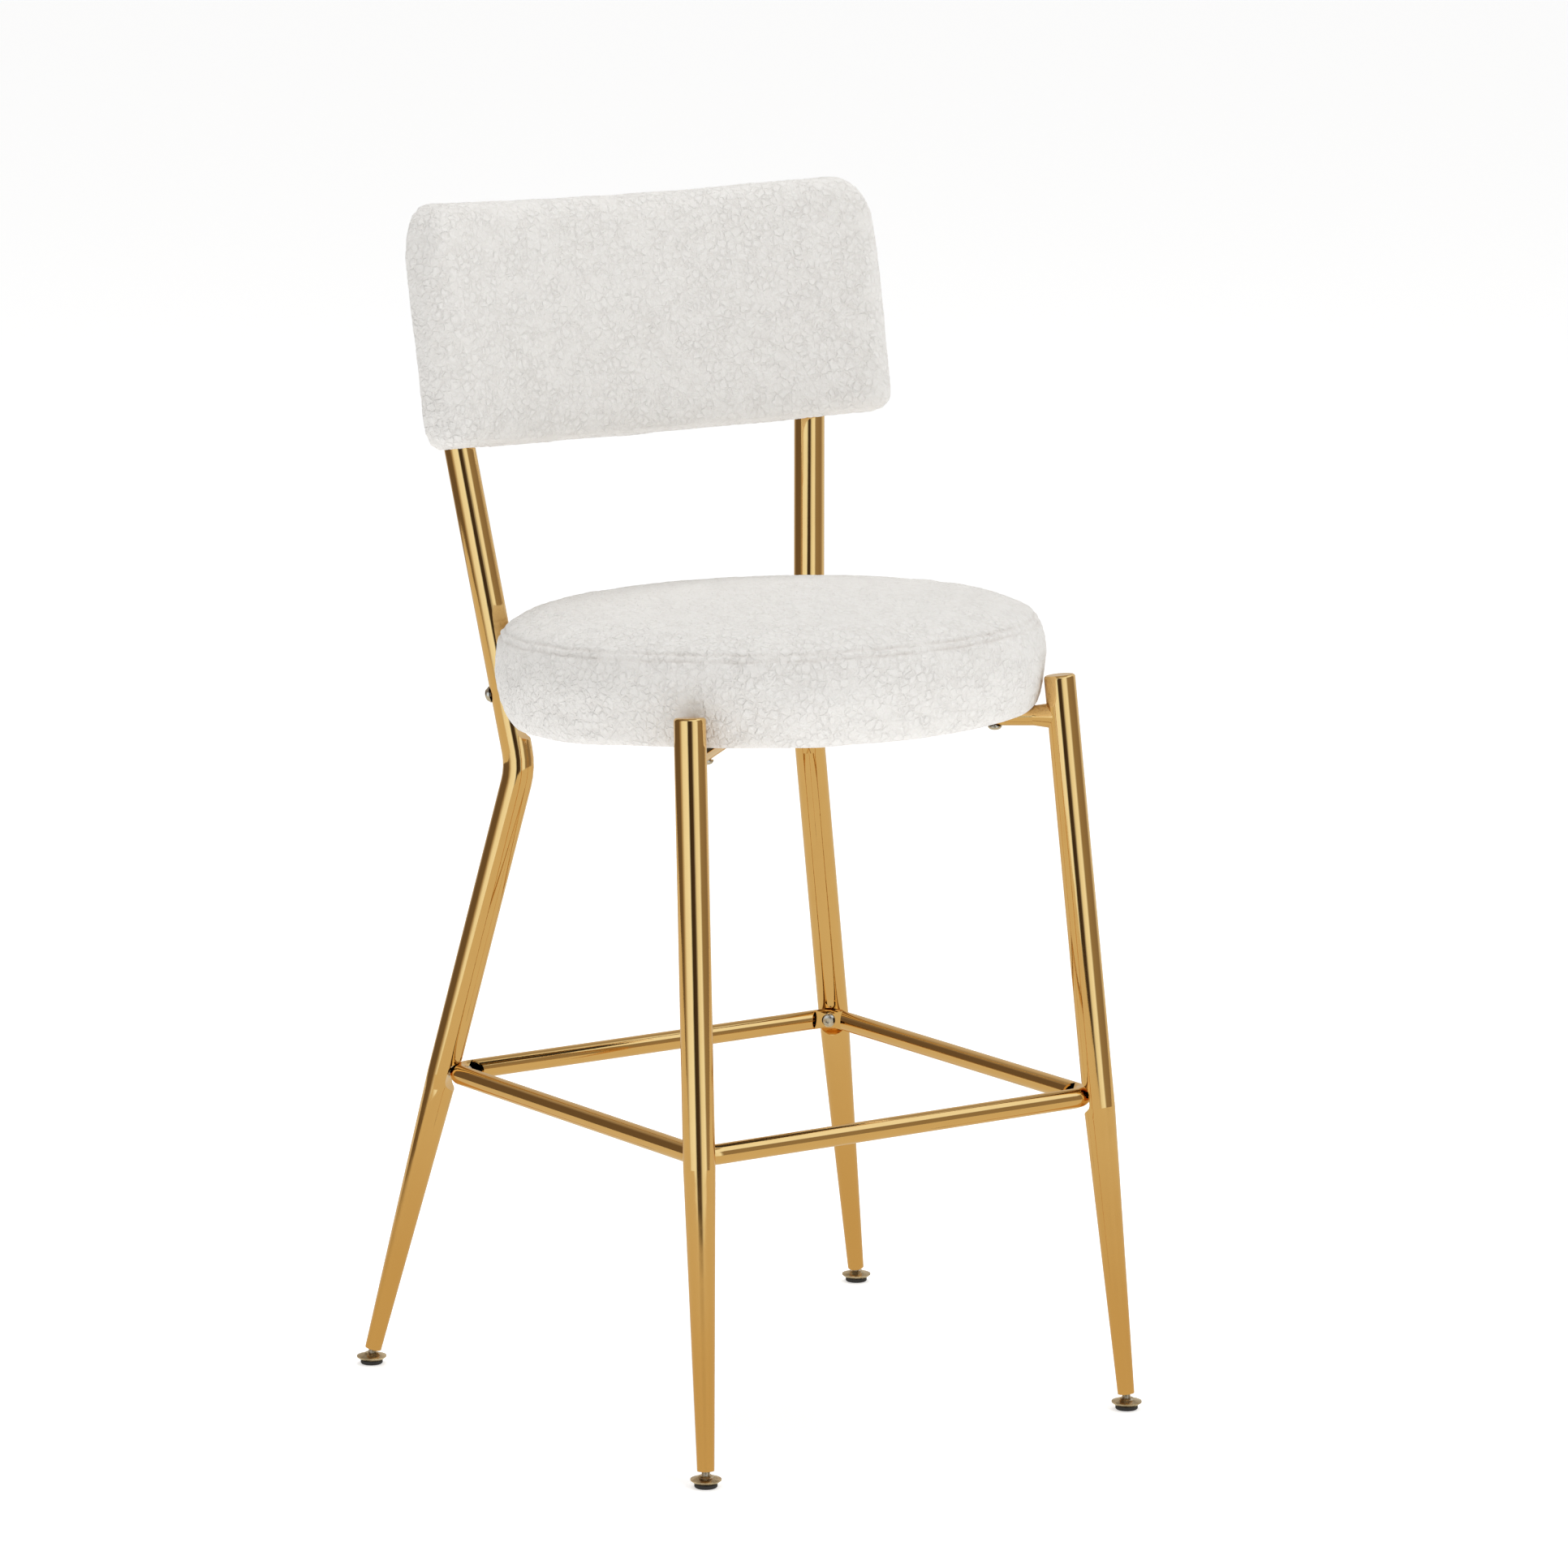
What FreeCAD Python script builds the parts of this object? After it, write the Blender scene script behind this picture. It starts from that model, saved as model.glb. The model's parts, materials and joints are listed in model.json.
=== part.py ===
import FreeCAD, Part
import math
import os
from FreeCAD import Placement, Rotation, Vector

# Counter stool: round padded seat, curved padded back, four leaning tube legs, footrest ring.
# Millimetres, +Z up, the sitter faces -Y, the origin is on the floor under the middle.

# Overall stance
seat_radius = 216.5
seat_centre_y = -14.2
seat_bottom = 557.0          # underside of the seat at its middle
seat_pitch = 3.0             # degrees, front edge high
footrest_front_height = 252.5
footrest_rear_height = 245.7

# Leg tubes
leg_radius = 12.5
leg_wall = 1.2
leg_end_radius = 6.7
leg_end_height = 12.6
taper_height = 245.0         # the taper runs from here down to the leg's end
front_bearing = 41.0         # degrees from the X axis, seen from the seat's middle
rear_bearing = 49.3
seat_to_leg = 2.3            # from the cushion's upright side to a leg
contact_rise = 34.0          # where the bearings are taken, above the seat's underside
front_lean_x = 0.0460        # sideways run for each mm of drop
front_lean_y = 0.1075
front_leg_rise = 32.5        # top of a front leg above the seat's underside
rear_lean_x = 0.2027
rear_lean_y = 0.1567
upright_lean_x = 0.1117      # sideways run for each mm of rise
upright_lean_y = 0.1677
bend_drop = 58.3             # the bend in a rear leg, below the seat's underside
bend_radius = 60.0
cap_thickness = 3.0
cap_spigot = 10.0
cap_round = 2.6

# Footrest ring
ring_radius = 8.0
ring_wall = 1.2
ring_corner = 16.0
ring_facet = 1.5             # how far the inside of a corner is pressed flat
ring_dent = 6.5
ring_dent_flat = 4.0         # half length of the flat
ring_dent_run = 1.04 * leg_radius   # where the press runs out again
nest_clearance = 0.1

# Seat frame under the cushion
cross_radius = 8.0
cross_wall = 1.2
flare_length = 11.0
flare_radius = 11.5
tab_thickness = 3.0
tab_width = 24.0
tab_below = 30.0             # below and above the bolt through the rear leg
tab_above = 11.0
frame_bolt_rise = 2.0        # above the seat's underside at its middle
seat_dent = 6.5
seat_dent_low = 33.0         # reach of the flat below and above the bolt
seat_dent_high = 38.0
seat_dent_run = 12.0
seat_screw_inset = 55.0      # from a leg's centreline, along the cross tube

# Seat cushion, heights above its underside
seat_band = 71.0
seat_crown = 26.0
seat_under_round = 24.0
seat_bulge = 2.5
seat_seam_inset = 5.0
seat_board_radius = 188.0
seat_board_thickness = 12.0
dust_cloth = 1.2
cover_thickness = 2.5
soft_gap = 0.3

# Backrest
back_centre = 851.0
back_height = 189.0
back_length = 442.0          # along its curved middle
back_radius = 500.0          # of the curved middle
back_thickness = 42.0
back_top_corner = 42.0
back_low_corner = 15.0
back_edge_round = 10.0
back_board_thickness = 10.0
back_board_inset = 14.0
back_panel_inset = 8.0       # the rear panel, in from the pad's outline
back_to_upright = 0.4
back_bolt_spacing = 84.0
upright_above_bolt = 18.0

# Fasteners, M6
bolt_radius = 3.0
bolt_clearance = 0.3
thread_clearance = 0.05
head_radius = 5.6
head_height = 3.3
socket_flats = 4.0
socket_depth = 2.0
washer_radius = 6.6
washer_thickness = 1.2
nut_sleeve_radius = 4.5
nut_sleeve_length = 12.0
nut_flange_radius = 9.0
nut_flange_thickness = 1.4

# Levelling glides
pad_radius = 9.0
pad_thickness = 3.0
disc_radius = 12.1
disc_rim_low = 2.6           # heights above the pad
disc_rim_high = 3.4
disc_height = 6.2
disc_neck_radius = 5.0
ball_radius = 3.4
ball_rise = 4.2
ball_clearance = 0.1
stud_neck_radius = 1.9
stud_neck_length = 4.7
stud_length = 27.0
insert_length = 16.0
insert_clearance = 0.05

ball_height = pad_thickness + ball_rise
seat_axis = Vector(0, seat_centre_y, 0)
UP = Vector(0, 0, 1)


def unit(v):
    return Vector(v).normalize()


def frame_at(origin, along, towards):
    """A placement whose Z runs along and whose X points towards, square to Z."""
    z = unit(along)
    x = unit(towards - z * towards.dot(z))
    return Placement(origin, Rotation(x, z.cross(x), z, "ZXY"))


def placed(shape, placement):
    out = shape.copy()
    out.Placement = placement.multiply(out.Placement)
    return out


def mirrored(shape):
    return shape.mirror(Vector(0, 0, 0), Vector(1, 0, 0))


def rod(radius, start, end):
    return Part.makeCylinder(radius, (end - start).Length, start, end - start)


def lathe(edges):
    """Turn a closed outline of edges in the XZ plane about Z."""
    return Part.Face(Part.Wire(edges)).revolve(Vector(0, 0, 0), UP, 360)


def line_chain(points):
    return [Part.makeLine(a, b) for a, b in zip(points[:-1], points[1:])]


def turned(points):
    ring = [Vector(x, 0, z) for x, z in points]
    return lathe(line_chain(ring + ring[:1]))


# ---------------------------------------------------------------- leg centrelines

def on_seat_circle(bearing, sign):
    reach = seat_radius - seat_bulge + leg_radius + seat_to_leg
    angle = math.radians(bearing)
    height = seat_bottom + contact_rise
    return seat_axis + Vector(reach * math.cos(angle), sign * reach * math.sin(angle), height)


front_contact = on_seat_circle(front_bearing, -1)
rear_contact = on_seat_circle(rear_bearing, 1)
front_slope = Vector(-front_lean_x, front_lean_y, 1)
rear_slope = Vector(-rear_lean_x, -rear_lean_y, 1)
upright_slope = Vector(upright_lean_x, upright_lean_y, 1)


def front_axis(z):
    return front_contact + front_slope * (z - front_contact.z)


def upright_axis(z):
    return rear_contact + upright_slope * (z - rear_contact.z)


bend_point = upright_axis(seat_bottom - bend_drop)


def rear_axis(z):
    return bend_point + rear_slope * (z - bend_point.z)


front_top = front_axis(seat_bottom + front_leg_rise)


# ---------------------------------------------------------------- backrest frame

upright_mid = upright_axis(back_centre)
back_rear_radius = back_radius + back_thickness / 2
back_front_radius = back_radius - back_thickness / 2
upright_reach = back_rear_radius + leg_radius + back_to_upright
back_axis_setback = math.sqrt(upright_reach ** 2 - upright_mid.x ** 2)
# The pad leans so that its rear face follows the two uprights along their whole length.
upright_unit = unit(upright_slope)
back_tilt = math.atan(upright_lean_y) + math.asin(
    upright_mid.x * upright_unit.x / back_axis_setback
    / math.hypot(upright_unit.y, upright_unit.z)
)
back_frame = Placement(
    Vector(0, upright_mid.y, back_centre), Rotation(Vector(1, 0, 0), -math.degrees(back_tilt))
)
back_up = back_frame.Rotation.multVec(UP)
seat_frame = Placement(
    Vector(0, seat_centre_y, seat_bottom), Rotation(Vector(1, 0, 0), -seat_pitch)
)
seat_up = seat_frame.Rotation.multVec(UP)


def back_bolt_point(side, level):
    """The point on an upright's centreline nearest the given height along the pad."""
    z = back_centre + level * back_up.z
    point = upright_axis(z)
    return Vector(side * point.x, point.y, point.z)


def back_bolt_direction(point):
    """Outwards from the pad's axis of curvature, square to that axis."""
    centre = back_frame.multVec(Vector(0, -back_axis_setback, 0))
    reach = point - centre
    return unit(reach - back_up * reach.dot(back_up))


upright_end = upright_axis(
    back_centre + (back_bolt_spacing / 2 + upright_above_bolt) * back_up.z
)


# ---------------------------------------------------------------- tube pieces

def tapered_rod(end, top, radius, end_radius):
    """A straight leg, round over its upper part and tapering to its lower end."""
    share = (taper_height - end.z) / (top.z - end.z)
    knee = end + (top - end) * share
    cone = Part.makeCone(end_radius, radius, (knee - end).Length, end, knee - end)
    return cone.fuse(rod(radius, knee, top))


def bend_arc(radius):
    """The elbow of a rear leg, with the two points where it meets the straight runs."""
    down = unit(rear_slope) * -1
    up = unit(upright_slope)
    half = (math.pi - down.getAngle(up)) / 2
    reach = bend_radius * math.tan(half)
    low = bend_point + down * reach
    high = bend_point + up * reach
    normal = down.cross(up).normalize()
    centre = low + unit(normal.cross(down) * -1) * bend_radius
    if (centre - high).Length > bend_radius * 1.01:
        centre = low + unit(normal.cross(down)) * bend_radius
    circle = Part.Wire(Part.makeCircle(radius, low, down))
    turn = math.degrees(2 * half)
    spin = (low - centre).cross(high - centre)
    elbow = Part.Face(circle).revolve(centre, spin, turn)
    return low, high, elbow


def rear_leg_body(trim, top):
    """The bent tube as a solid, its radius reduced by trim."""
    low, high, elbow = bend_arc(leg_radius - trim)
    lower = tapered_rod(rear_axis(leg_end_height), low, leg_radius - trim, leg_end_radius - trim)
    upper = rod(leg_radius - trim, high, top)
    return lower.multiFuse([elbow, upper]).removeSplitter()


def swept_step(low, high):
    """A smooth S from the point low to the point high in the XZ plane, upright at both ends."""
    run = high.z - low.z
    rise = high.x - low.x
    bend = (run ** 2 + rise ** 2) / (4 * rise)
    half = math.atan(rise / abs(run))
    sag = Vector(bend * (1 - math.cos(half)), 0, math.copysign(bend * math.sin(half), run))
    middle = (low + high) * 0.5
    return [Part.Arc(low, low + sag, middle).toShape(),
            Part.Arc(middle, high - sag, high).toShape()]


def press_tool(depth, low, high, run, wall):
    """What a press takes from a leg, in a frame on its centreline with X facing inwards."""
    flat = leg_radius - depth - wall
    crest = leg_radius + 1 - wall
    outside = leg_radius + 14
    bottom = Vector(flat, 0, -low)
    top = Vector(flat, 0, high)
    low_lip = Vector(crest, 0, -low - run)
    high_lip = Vector(crest, 0, high + run)
    low_back = Vector(outside, 0, -low - run)
    high_back = Vector(outside, 0, high + run)
    edges = [Part.makeLine(bottom, top)] + swept_step(top, high_lip)
    edges += line_chain([high_lip, high_back, low_back, low_lip])
    edges += swept_step(bottom, low_lip)
    width = Vector(0, 5 * leg_radius, 0)
    face = Part.Face(Part.Wire(Part.__sortEdges__(edges)))
    return face.extrude(width).translated(width * -0.5)


def pressed_tube(outer, void, presses):
    """Cut each press from the tube's outside and, a wall further in, from its void."""
    for frame, depth, low, high, run in presses:
        outer = outer.cut(placed(press_tool(depth, low, high, run, 0), frame))
        void = void.cut(placed(press_tool(depth, low, high, run, leg_wall), frame))
    return outer.cut(void)


# ---------------------------------------------------------------- footrest places

ring_front_cross = front_axis(footrest_front_height)
ring_rear_cross = rear_axis(footrest_rear_height)
ring_rise = unit(Vector(0, ring_front_cross.y - ring_rear_cross.y,
                        footrest_front_height - footrest_rear_height))
ring_tilt = math.degrees(math.asin(ring_rise.z))
ring_place = Placement(
    Vector(0, 0, ring_front_cross.z + ring_front_cross.y * ring_rise.z / -ring_rise.y),
    Rotation(Vector(1, 0, 0), -ring_tilt)
)


def inward_diagonal(sign_y):
    return unit(Vector(-1, -sign_y, 0))


# On a right-hand leg's centreline at the footrest, X facing in along the diagonal.
ring_leg_front = frame_at(ring_front_cross, front_slope, inward_diagonal(-1))
ring_leg_rear = frame_at(ring_rear_cross, rear_slope, inward_diagonal(1))


def ring_corner_middle(leg_frame, sign_y):
    """Middle of the ring's corner bend, nested in the dent of its right-hand leg."""
    inward = ring_place.Rotation.multVec(inward_diagonal(sign_y))
    face = leg_frame.Rotation.multVec(Vector(1, 0, 0))
    nest = (leg_radius - ring_dent + ring_radius + nest_clearance) / inward.dot(face)
    return ring_place.inverse().multVec(leg_frame.Base + inward * nest)


ring_front = ring_corner_middle(ring_leg_front, -1)
ring_rear = ring_corner_middle(ring_leg_rear, 1)


def ring_solid(radius):
    """The ring in its own plane: four corner bends joined by four straight tubes."""
    proud = ring_corner * (math.sqrt(2) - 1) / math.sqrt(2)
    front = ring_front + Vector(proud, -proud, 0)
    rear = ring_rear + Vector(proud, proud, 0)
    corners = [front, rear, Vector(-rear.x, rear.y, 0), Vector(-front.x, front.y, 0)]
    solids = []
    starts = []
    ends = []
    for index, corner in enumerate(corners):
        back = unit(corners[index - 1] - corner)
        on = unit(corners[(index + 1) % 4] - corner)
        half = back.getAngle(on) / 2
        start = corner + back * (ring_corner / math.tan(half))
        centre = corner + unit(back + on) * (ring_corner / math.sin(half))
        section = Part.Face(Part.Wire(Part.makeCircle(radius, start, back)))
        solids.append(section.revolve(centre, UP, 180 - math.degrees(2 * half)))
        starts.append(start)
        ends.append(corner + on * (ring_corner / math.tan(half)))
    for index in range(4):
        solids.append(rod(radius, ends[index], starts[(index + 1) % 4]))
    return solids[0].multiFuse(solids[1:])


def ring_corner_frames():
    """One frame for each corner of the ring, X facing in along the diagonal."""
    frames = []
    for middle, sx, sy in [(ring_front, 1, -1), (ring_front, -1, -1),
                           (ring_rear, 1, 1), (ring_rear, -1, 1)]:
        place = frame_at(Vector(sx * middle.x, middle.y, 0), UP, Vector(-sx, -sy, 0))
        frames.append(ring_place.multiply(place))
    return frames


def facet_tool(wall):
    """The flat pressed on the inside of a ring corner."""
    flat = ring_radius - ring_facet - wall
    return Part.makeBox(20, 24, 40, Vector(flat, -12, -20))


def footrest_ring():
    outer = placed(ring_solid(ring_radius), ring_place)
    void = placed(ring_solid(ring_radius - ring_wall), ring_place)
    for frame in ring_corner_frames():
        outer = outer.cut(placed(facet_tool(0), frame))
        void = void.cut(placed(facet_tool(ring_wall), frame))
    ring = outer.cut(void)
    hole = rod(bolt_radius + bolt_clearance, Vector(-30, 0, 0), Vector(30, 0, 0))
    for frame in ring_corner_frames():
        ring = ring.cut(placed(hole, frame))
    return ring


# ---------------------------------------------------------------- fasteners

def button_bolt(length):
    """Bolt with its shank along -Z from the origin and a round socket head above."""
    dome = turned([(0, 0), (head_radius, 0), (head_radius, head_height * 0.3),
                   (head_radius * 0.78, head_height * 0.78), (head_radius * 0.45, head_height),
                   (0, head_height)])
    shank = Part.makeCylinder(bolt_radius, length, Vector(0, 0, -length))
    across = socket_flats / math.sqrt(3)
    corners = [Vector(across * math.cos(math.radians(60 * k)),
                      across * math.sin(math.radians(60 * k)), head_height - socket_depth)
               for k in range(7)]
    socket = Part.Face(Part.makePolygon(corners)).extrude(Vector(0, 0, socket_depth + 1))
    return dome.fuse(shank).cut(socket).removeSplitter()


def t_nut(barrel_length):
    """Flanged nut, the flange's underside at the origin and the barrel along -Z."""
    flange = Part.makeCylinder(nut_flange_radius, nut_flange_thickness)
    barrel = Part.makeCylinder(nut_sleeve_radius, barrel_length, Vector(0, 0, -barrel_length))
    bore = Part.makeCylinder(
        bolt_radius + thread_clearance, barrel_length + 10, Vector(0, 0, -barrel_length - 5)
    )
    return flange.fuse(barrel).cut(bore).removeSplitter()


def footrest_bolts():
    head_at = ring_radius - ring_facet
    length = head_at + ring_radius + nut_sleeve_length
    turn = Placement(Vector(head_at, 0, 0), Rotation(UP, Vector(1, 0, 0)))
    bolt = placed(button_bolt(length), turn)
    return Part.makeCompound([placed(bolt, frame) for frame in ring_corner_frames()])


def footrest_rivet_nuts():
    start = Vector(-ring_radius + 3, 0, 0)
    end = Vector(-ring_radius - nut_sleeve_length, 0, 0)
    sleeve = rod(nut_sleeve_radius, start, end)
    bore = rod(bolt_radius + thread_clearance, Vector(5, 0, 0), end - Vector(5, 0, 0))
    nuts = []
    tools = [ring_leg_front, ring_leg_rear]
    for index, frame in enumerate(ring_corner_frames()):
        tool = placed(press_tool(ring_dent, ring_dent_flat, ring_dent_flat, ring_dent_run, 0),
                      tools[index // 2])
        if index % 2:
            tool = mirrored(tool)
        nuts.append(placed(sleeve.cut(bore), frame).cut(tool))
    return Part.makeCompound(nuts)


# ---------------------------------------------------------------- seat frame places

def cross_point(axis):
    """Where a cross tube's centreline meets a leg's centreline."""
    base = seat_frame.Base - seat_up * cross_radius
    start = axis(0)
    slope = axis(1) - start
    return start + slope * ((base - start).dot(seat_up) / slope.dot(seat_up))


cross_front = cross_point(front_axis)
cross_rear = cross_point(upright_axis)
cross_line = unit(Vector(-cross_rear.x, cross_rear.y, cross_rear.z)
                  - Vector(cross_front.x, cross_front.y, cross_front.z))
rear_inward = unit(Vector(cross_line.x, -cross_line.y, 0))
frame_bolt_height = seat_bottom + frame_bolt_rise
tab_frame = frame_at(upright_axis(frame_bolt_height), upright_slope, rear_inward)
seat_flat = leg_radius - seat_dent
tab_inner = seat_flat + thread_clearance + tab_thickness


def tab_box(grow):
    """The plate between a rear leg and the cushion, in the frame of its bolt."""
    start = Vector(seat_flat + thread_clearance - grow, -tab_width / 2 - grow, -tab_below - grow)
    return Part.makeBox(tab_thickness + 2 * grow, tab_width + 2 * grow,
                        tab_below + tab_above + 2 * grow, start)


def rear_tab():
    plate = tab_box(0)
    corners = [e for e in plate.Edges if abs(e.tangentAt(e.FirstParameter).x) > 0.9]
    plate = plate.makeFillet(4.0, corners)
    hole = rod(bolt_radius + thread_clearance, Vector(0, 0, 0), Vector(30, 0, 0))
    return placed(plate.cut(hole), tab_frame)


def frame_bolt():
    length = leg_radius + washer_thickness + tab_inner
    turn = Placement(Vector(-leg_radius - washer_thickness, 0, 0), Rotation(UP, Vector(-1, 0, 0)))
    return placed(placed(button_bolt(length), turn), tab_frame)


def frame_washer():
    outer = rod(washer_radius, Vector(-leg_radius, 0, 0),
                Vector(-leg_radius - washer_thickness, 0, 0))
    hole = rod(bolt_radius + bolt_clearance, Vector(0, 0, 0), Vector(-30, 0, 0))
    return placed(outer.cut(hole), tab_frame)


def cross_screw_points():
    """Where a seat screw crosses each half of the cross tubes, right side first."""
    front = cross_front + cross_line * seat_screw_inset
    right_rear = Vector(-cross_line.x, cross_line.y, cross_line.z)
    rear = cross_rear - right_rear * seat_screw_inset
    points = []
    for p in (front, rear):
        points += [p, Vector(-p.x, p.y, p.z)]
    return points


def screw_holes(radius):
    reach = seat_up * 30
    return [rod(radius, p - reach, p + reach) for p in cross_screw_points()]


def cross_tube(start, end, radius):
    return rod(radius, start, end)


def front_flare(start, along):
    """The weld that widens a cross tube where it meets a front leg."""
    edge = start + along * (leg_radius + flare_length)
    cone = Part.makeCone(cross_radius, flare_radius, flare_length + leg_radius, edge, along * -1)
    return cone


def trim_to_legs(shape):
    """Cope a cross tube to the front legs and end it on the rear tabs."""
    keep_out = rod(leg_radius, front_axis(400), front_axis(700))
    stop = Part.makeBox(200, 200, 200, Vector(tab_inner - 200, -100, -100))
    stop = placed(stop, tab_frame)
    for cutter in (keep_out, mirrored(keep_out), stop, mirrored(stop)):
        shape = shape.cut(cutter)
    solids = sorted(shape.Solids, key=lambda s: s.Volume)
    return solids[-1]


def hollow_cross(start, end, flare_start, flare_along):
    outer = cross_tube(start, end, cross_radius)
    if flare_start is not None:
        outer = outer.fuse(front_flare(flare_start, flare_along))
    bore = cross_tube(start - unit(end - start) * 20, end + unit(end - start) * 20,
                      cross_radius - cross_wall)
    tube = trim_to_legs(outer.cut(bore))
    for hole in screw_holes(bolt_radius + bolt_clearance):
        tube = tube.cut(hole)
    return tube


def cross_tube_long():
    """From the left front leg to the right rear leg."""
    start = Vector(-cross_front.x, cross_front.y, cross_front.z)
    along = unit(cross_rear - start)
    return hollow_cross(start, cross_rear, start, along)


def cross_tube_short(front):
    """Half of the other diagonal, coped round the long tube."""
    left = Vector(-cross_front.x, cross_front.y, cross_front.z)
    middle_share = left.x / (left.x - cross_rear.x)
    crossing = left + (cross_rear - left) * middle_share
    if front:
        start = cross_front
        tube = hollow_cross(start, crossing, start, unit(crossing - start))
    else:
        start = Vector(-cross_rear.x, cross_rear.y, cross_rear.z)
        tube = hollow_cross(start, crossing, None, None)
    return tube.cut(rod(cross_radius, left, cross_rear))


# ---------------------------------------------------------------- legs

def front_leg():
    end = front_axis(leg_end_height)
    top = front_top - unit(front_slope) * cap_thickness
    outer = tapered_rod(end, top, leg_radius, leg_end_radius)
    void = tapered_rod(end, top, leg_radius - leg_wall, leg_end_radius - leg_wall)
    press = (ring_leg_front, ring_dent, ring_dent_flat, ring_dent_flat, ring_dent_run)
    leg = pressed_tube(outer, void, [press])
    nut_hole = rod(nut_sleeve_radius + thread_clearance, Vector(0, 0, 0),
                   Vector(-nut_sleeve_length - 2, 0, 0))
    return leg.cut(placed(nut_hole, ring_corner_frames()[0]))


def rear_leg():
    top = upright_end - unit(upright_slope) * cap_thickness
    outer = rear_leg_body(0, top)
    void = rear_leg_body(leg_wall, top)
    presses = [
        (ring_leg_rear, ring_dent, ring_dent_flat, ring_dent_flat, ring_dent_run),
        (tab_frame, seat_dent, seat_dent_low, seat_dent_high, seat_dent_run),
    ]
    leg = pressed_tube(outer, void, presses)
    nut_hole = rod(nut_sleeve_radius + thread_clearance, Vector(0, 0, 0),
                   Vector(-nut_sleeve_length - 2, 0, 0))
    leg = leg.cut(placed(nut_hole, ring_corner_frames()[2]))
    bolt_hole = rod(bolt_radius + bolt_clearance, Vector(-30, 0, 0), Vector(30, 0, 0))
    leg = leg.cut(placed(bolt_hole, tab_frame))
    for level in (-back_bolt_spacing / 2, back_bolt_spacing / 2):
        point = back_bolt_point(1, level)
        out = back_bolt_direction(point)
        leg = leg.cut(rod(bolt_radius + bolt_clearance, point - out * 30, point + out * 30))
    return leg


def tube_cap(top, slope):
    """A pressed cap on the open end of a tube, its spigot inside."""
    head = Part.makeCylinder(leg_radius, cap_thickness, Vector(0, 0, -cap_thickness))
    rim = [e for e in head.Edges if e.BoundBox.ZMin > -cap_thickness / 2]
    head = head.makeFillet(cap_round, [rim[0]])
    spigot = Part.makeCylinder(leg_radius - leg_wall - thread_clearance, cap_spigot,
                               Vector(0, 0, -cap_thickness - cap_spigot))
    return placed(head.fuse(spigot).removeSplitter(), frame_at(top, slope, Vector(1, 0, 0)))


def leg_insert(axis, slope):
    """The threaded plug pressed into the end of a leg."""
    radius = leg_end_radius - leg_wall - insert_clearance
    plug = Part.makeCylinder(radius, insert_length)
    plug = plug.cut(Part.makeCylinder(bolt_radius + thread_clearance, insert_length))
    return placed(plug, frame_at(axis(leg_end_height), slope, Vector(1, 0, 0)))


# ---------------------------------------------------------------- glides

def glide_place(axis):
    foot = axis(ball_height)
    return Placement(Vector(foot.x, foot.y, 0), Rotation())


def glide_pad(axis):
    pad = turned([(0, 0), (pad_radius - 0.6, 0), (pad_radius, 0.6),
                  (pad_radius, pad_thickness), (0, pad_thickness)])
    return placed(pad, glide_place(axis))


def glide_disc(axis):
    low = pad_thickness
    disc = turned([(0, low), (pad_radius - 0.3, low), (disc_radius, low + disc_rim_low),
                   (disc_radius, low + disc_rim_high),
                   (disc_neck_radius + 1.6, low + disc_height - 1.0),
                   (disc_neck_radius, low + disc_height), (0, low + disc_height)])
    socket = Part.makeSphere(ball_radius + ball_clearance, Vector(0, 0, ball_height))
    return placed(disc.cut(socket), glide_place(axis))


def glide_stud(axis, slope):
    ball = Part.makeSphere(ball_radius)
    neck = Part.makeCylinder(stud_neck_radius, stud_neck_length + 1)
    thread = Part.makeCylinder(bolt_radius, stud_length - stud_neck_length,
                               Vector(0, 0, stud_neck_length))
    stud = ball.multiFuse([neck, thread]).removeSplitter()
    return placed(stud, frame_at(axis(ball_height), slope, Vector(1, 0, 0)))


# ---------------------------------------------------------------- seat cushion

def seat_outline(trim, bottom):
    """Half section of the cushion, trimmed in by an even skin and starting at bottom."""
    outer = seat_radius - trim
    rounding = seat_under_round - trim
    top_edge = seat_radius - seat_seam_inset - trim
    seam = seat_band - trim / 2
    crown = seat_band + seat_crown - trim
    side = outer - seat_bulge
    mid = (rounding + bottom + seam) / 2
    p0 = Vector(0, 0, bottom)
    p1 = Vector(side - rounding, 0, bottom)
    p2 = Vector(side - rounding * (1 - math.sqrt(0.5)), 0, bottom + rounding * (1 - math.sqrt(0.5)))
    p3 = Vector(side, 0, bottom + rounding)
    p4 = Vector(outer, 0, mid)
    p5 = Vector(top_edge, 0, seam)
    p6 = Vector(top_edge * 0.6, 0, crown - (crown - seam) * 0.22)
    p7 = Vector(0, 0, crown)
    return [
        Part.makeLine(p0, p1),
        Part.Arc(p1, p2, p3).toShape(),
        Part.Arc(p3, p4, p5).toShape(),
        crown_arc(p5, p6, p7),
        Part.makeLine(p7, p0),
    ]


def crown_arc(edge, shoulder, top):
    """The top panel: flat across its middle and rounding down to the seam."""
    curve = Part.BSplineCurve()
    curve.interpolate([edge, shoulder, top], Tangents=[
        Vector(-0.6, 0, 0.8) * 40, Vector(-1, 0, 0.12) * 80, Vector(-1, 0, 0) * 80,
    ], TangentFlags=[True, True, True])
    return curve.toShape()


def seat_solid(trim, bottom):
    return placed(lathe(seat_outline(trim, bottom)), seat_frame)


def seat_level_disc(radius, low, high):
    return placed(Part.makeCylinder(radius, high - low, Vector(0, 0, low)), seat_frame)


def t_nut_places():
    """Seat nuts on top of the board, one over each screw."""
    top = dust_cloth + seat_board_thickness
    places = []
    for p in cross_screw_points():
        rise = top - (p - seat_frame.Base).dot(seat_up)
        places.append(frame_at(p + seat_up * rise, seat_up, Vector(1, 0, 0)))
    return places


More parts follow.
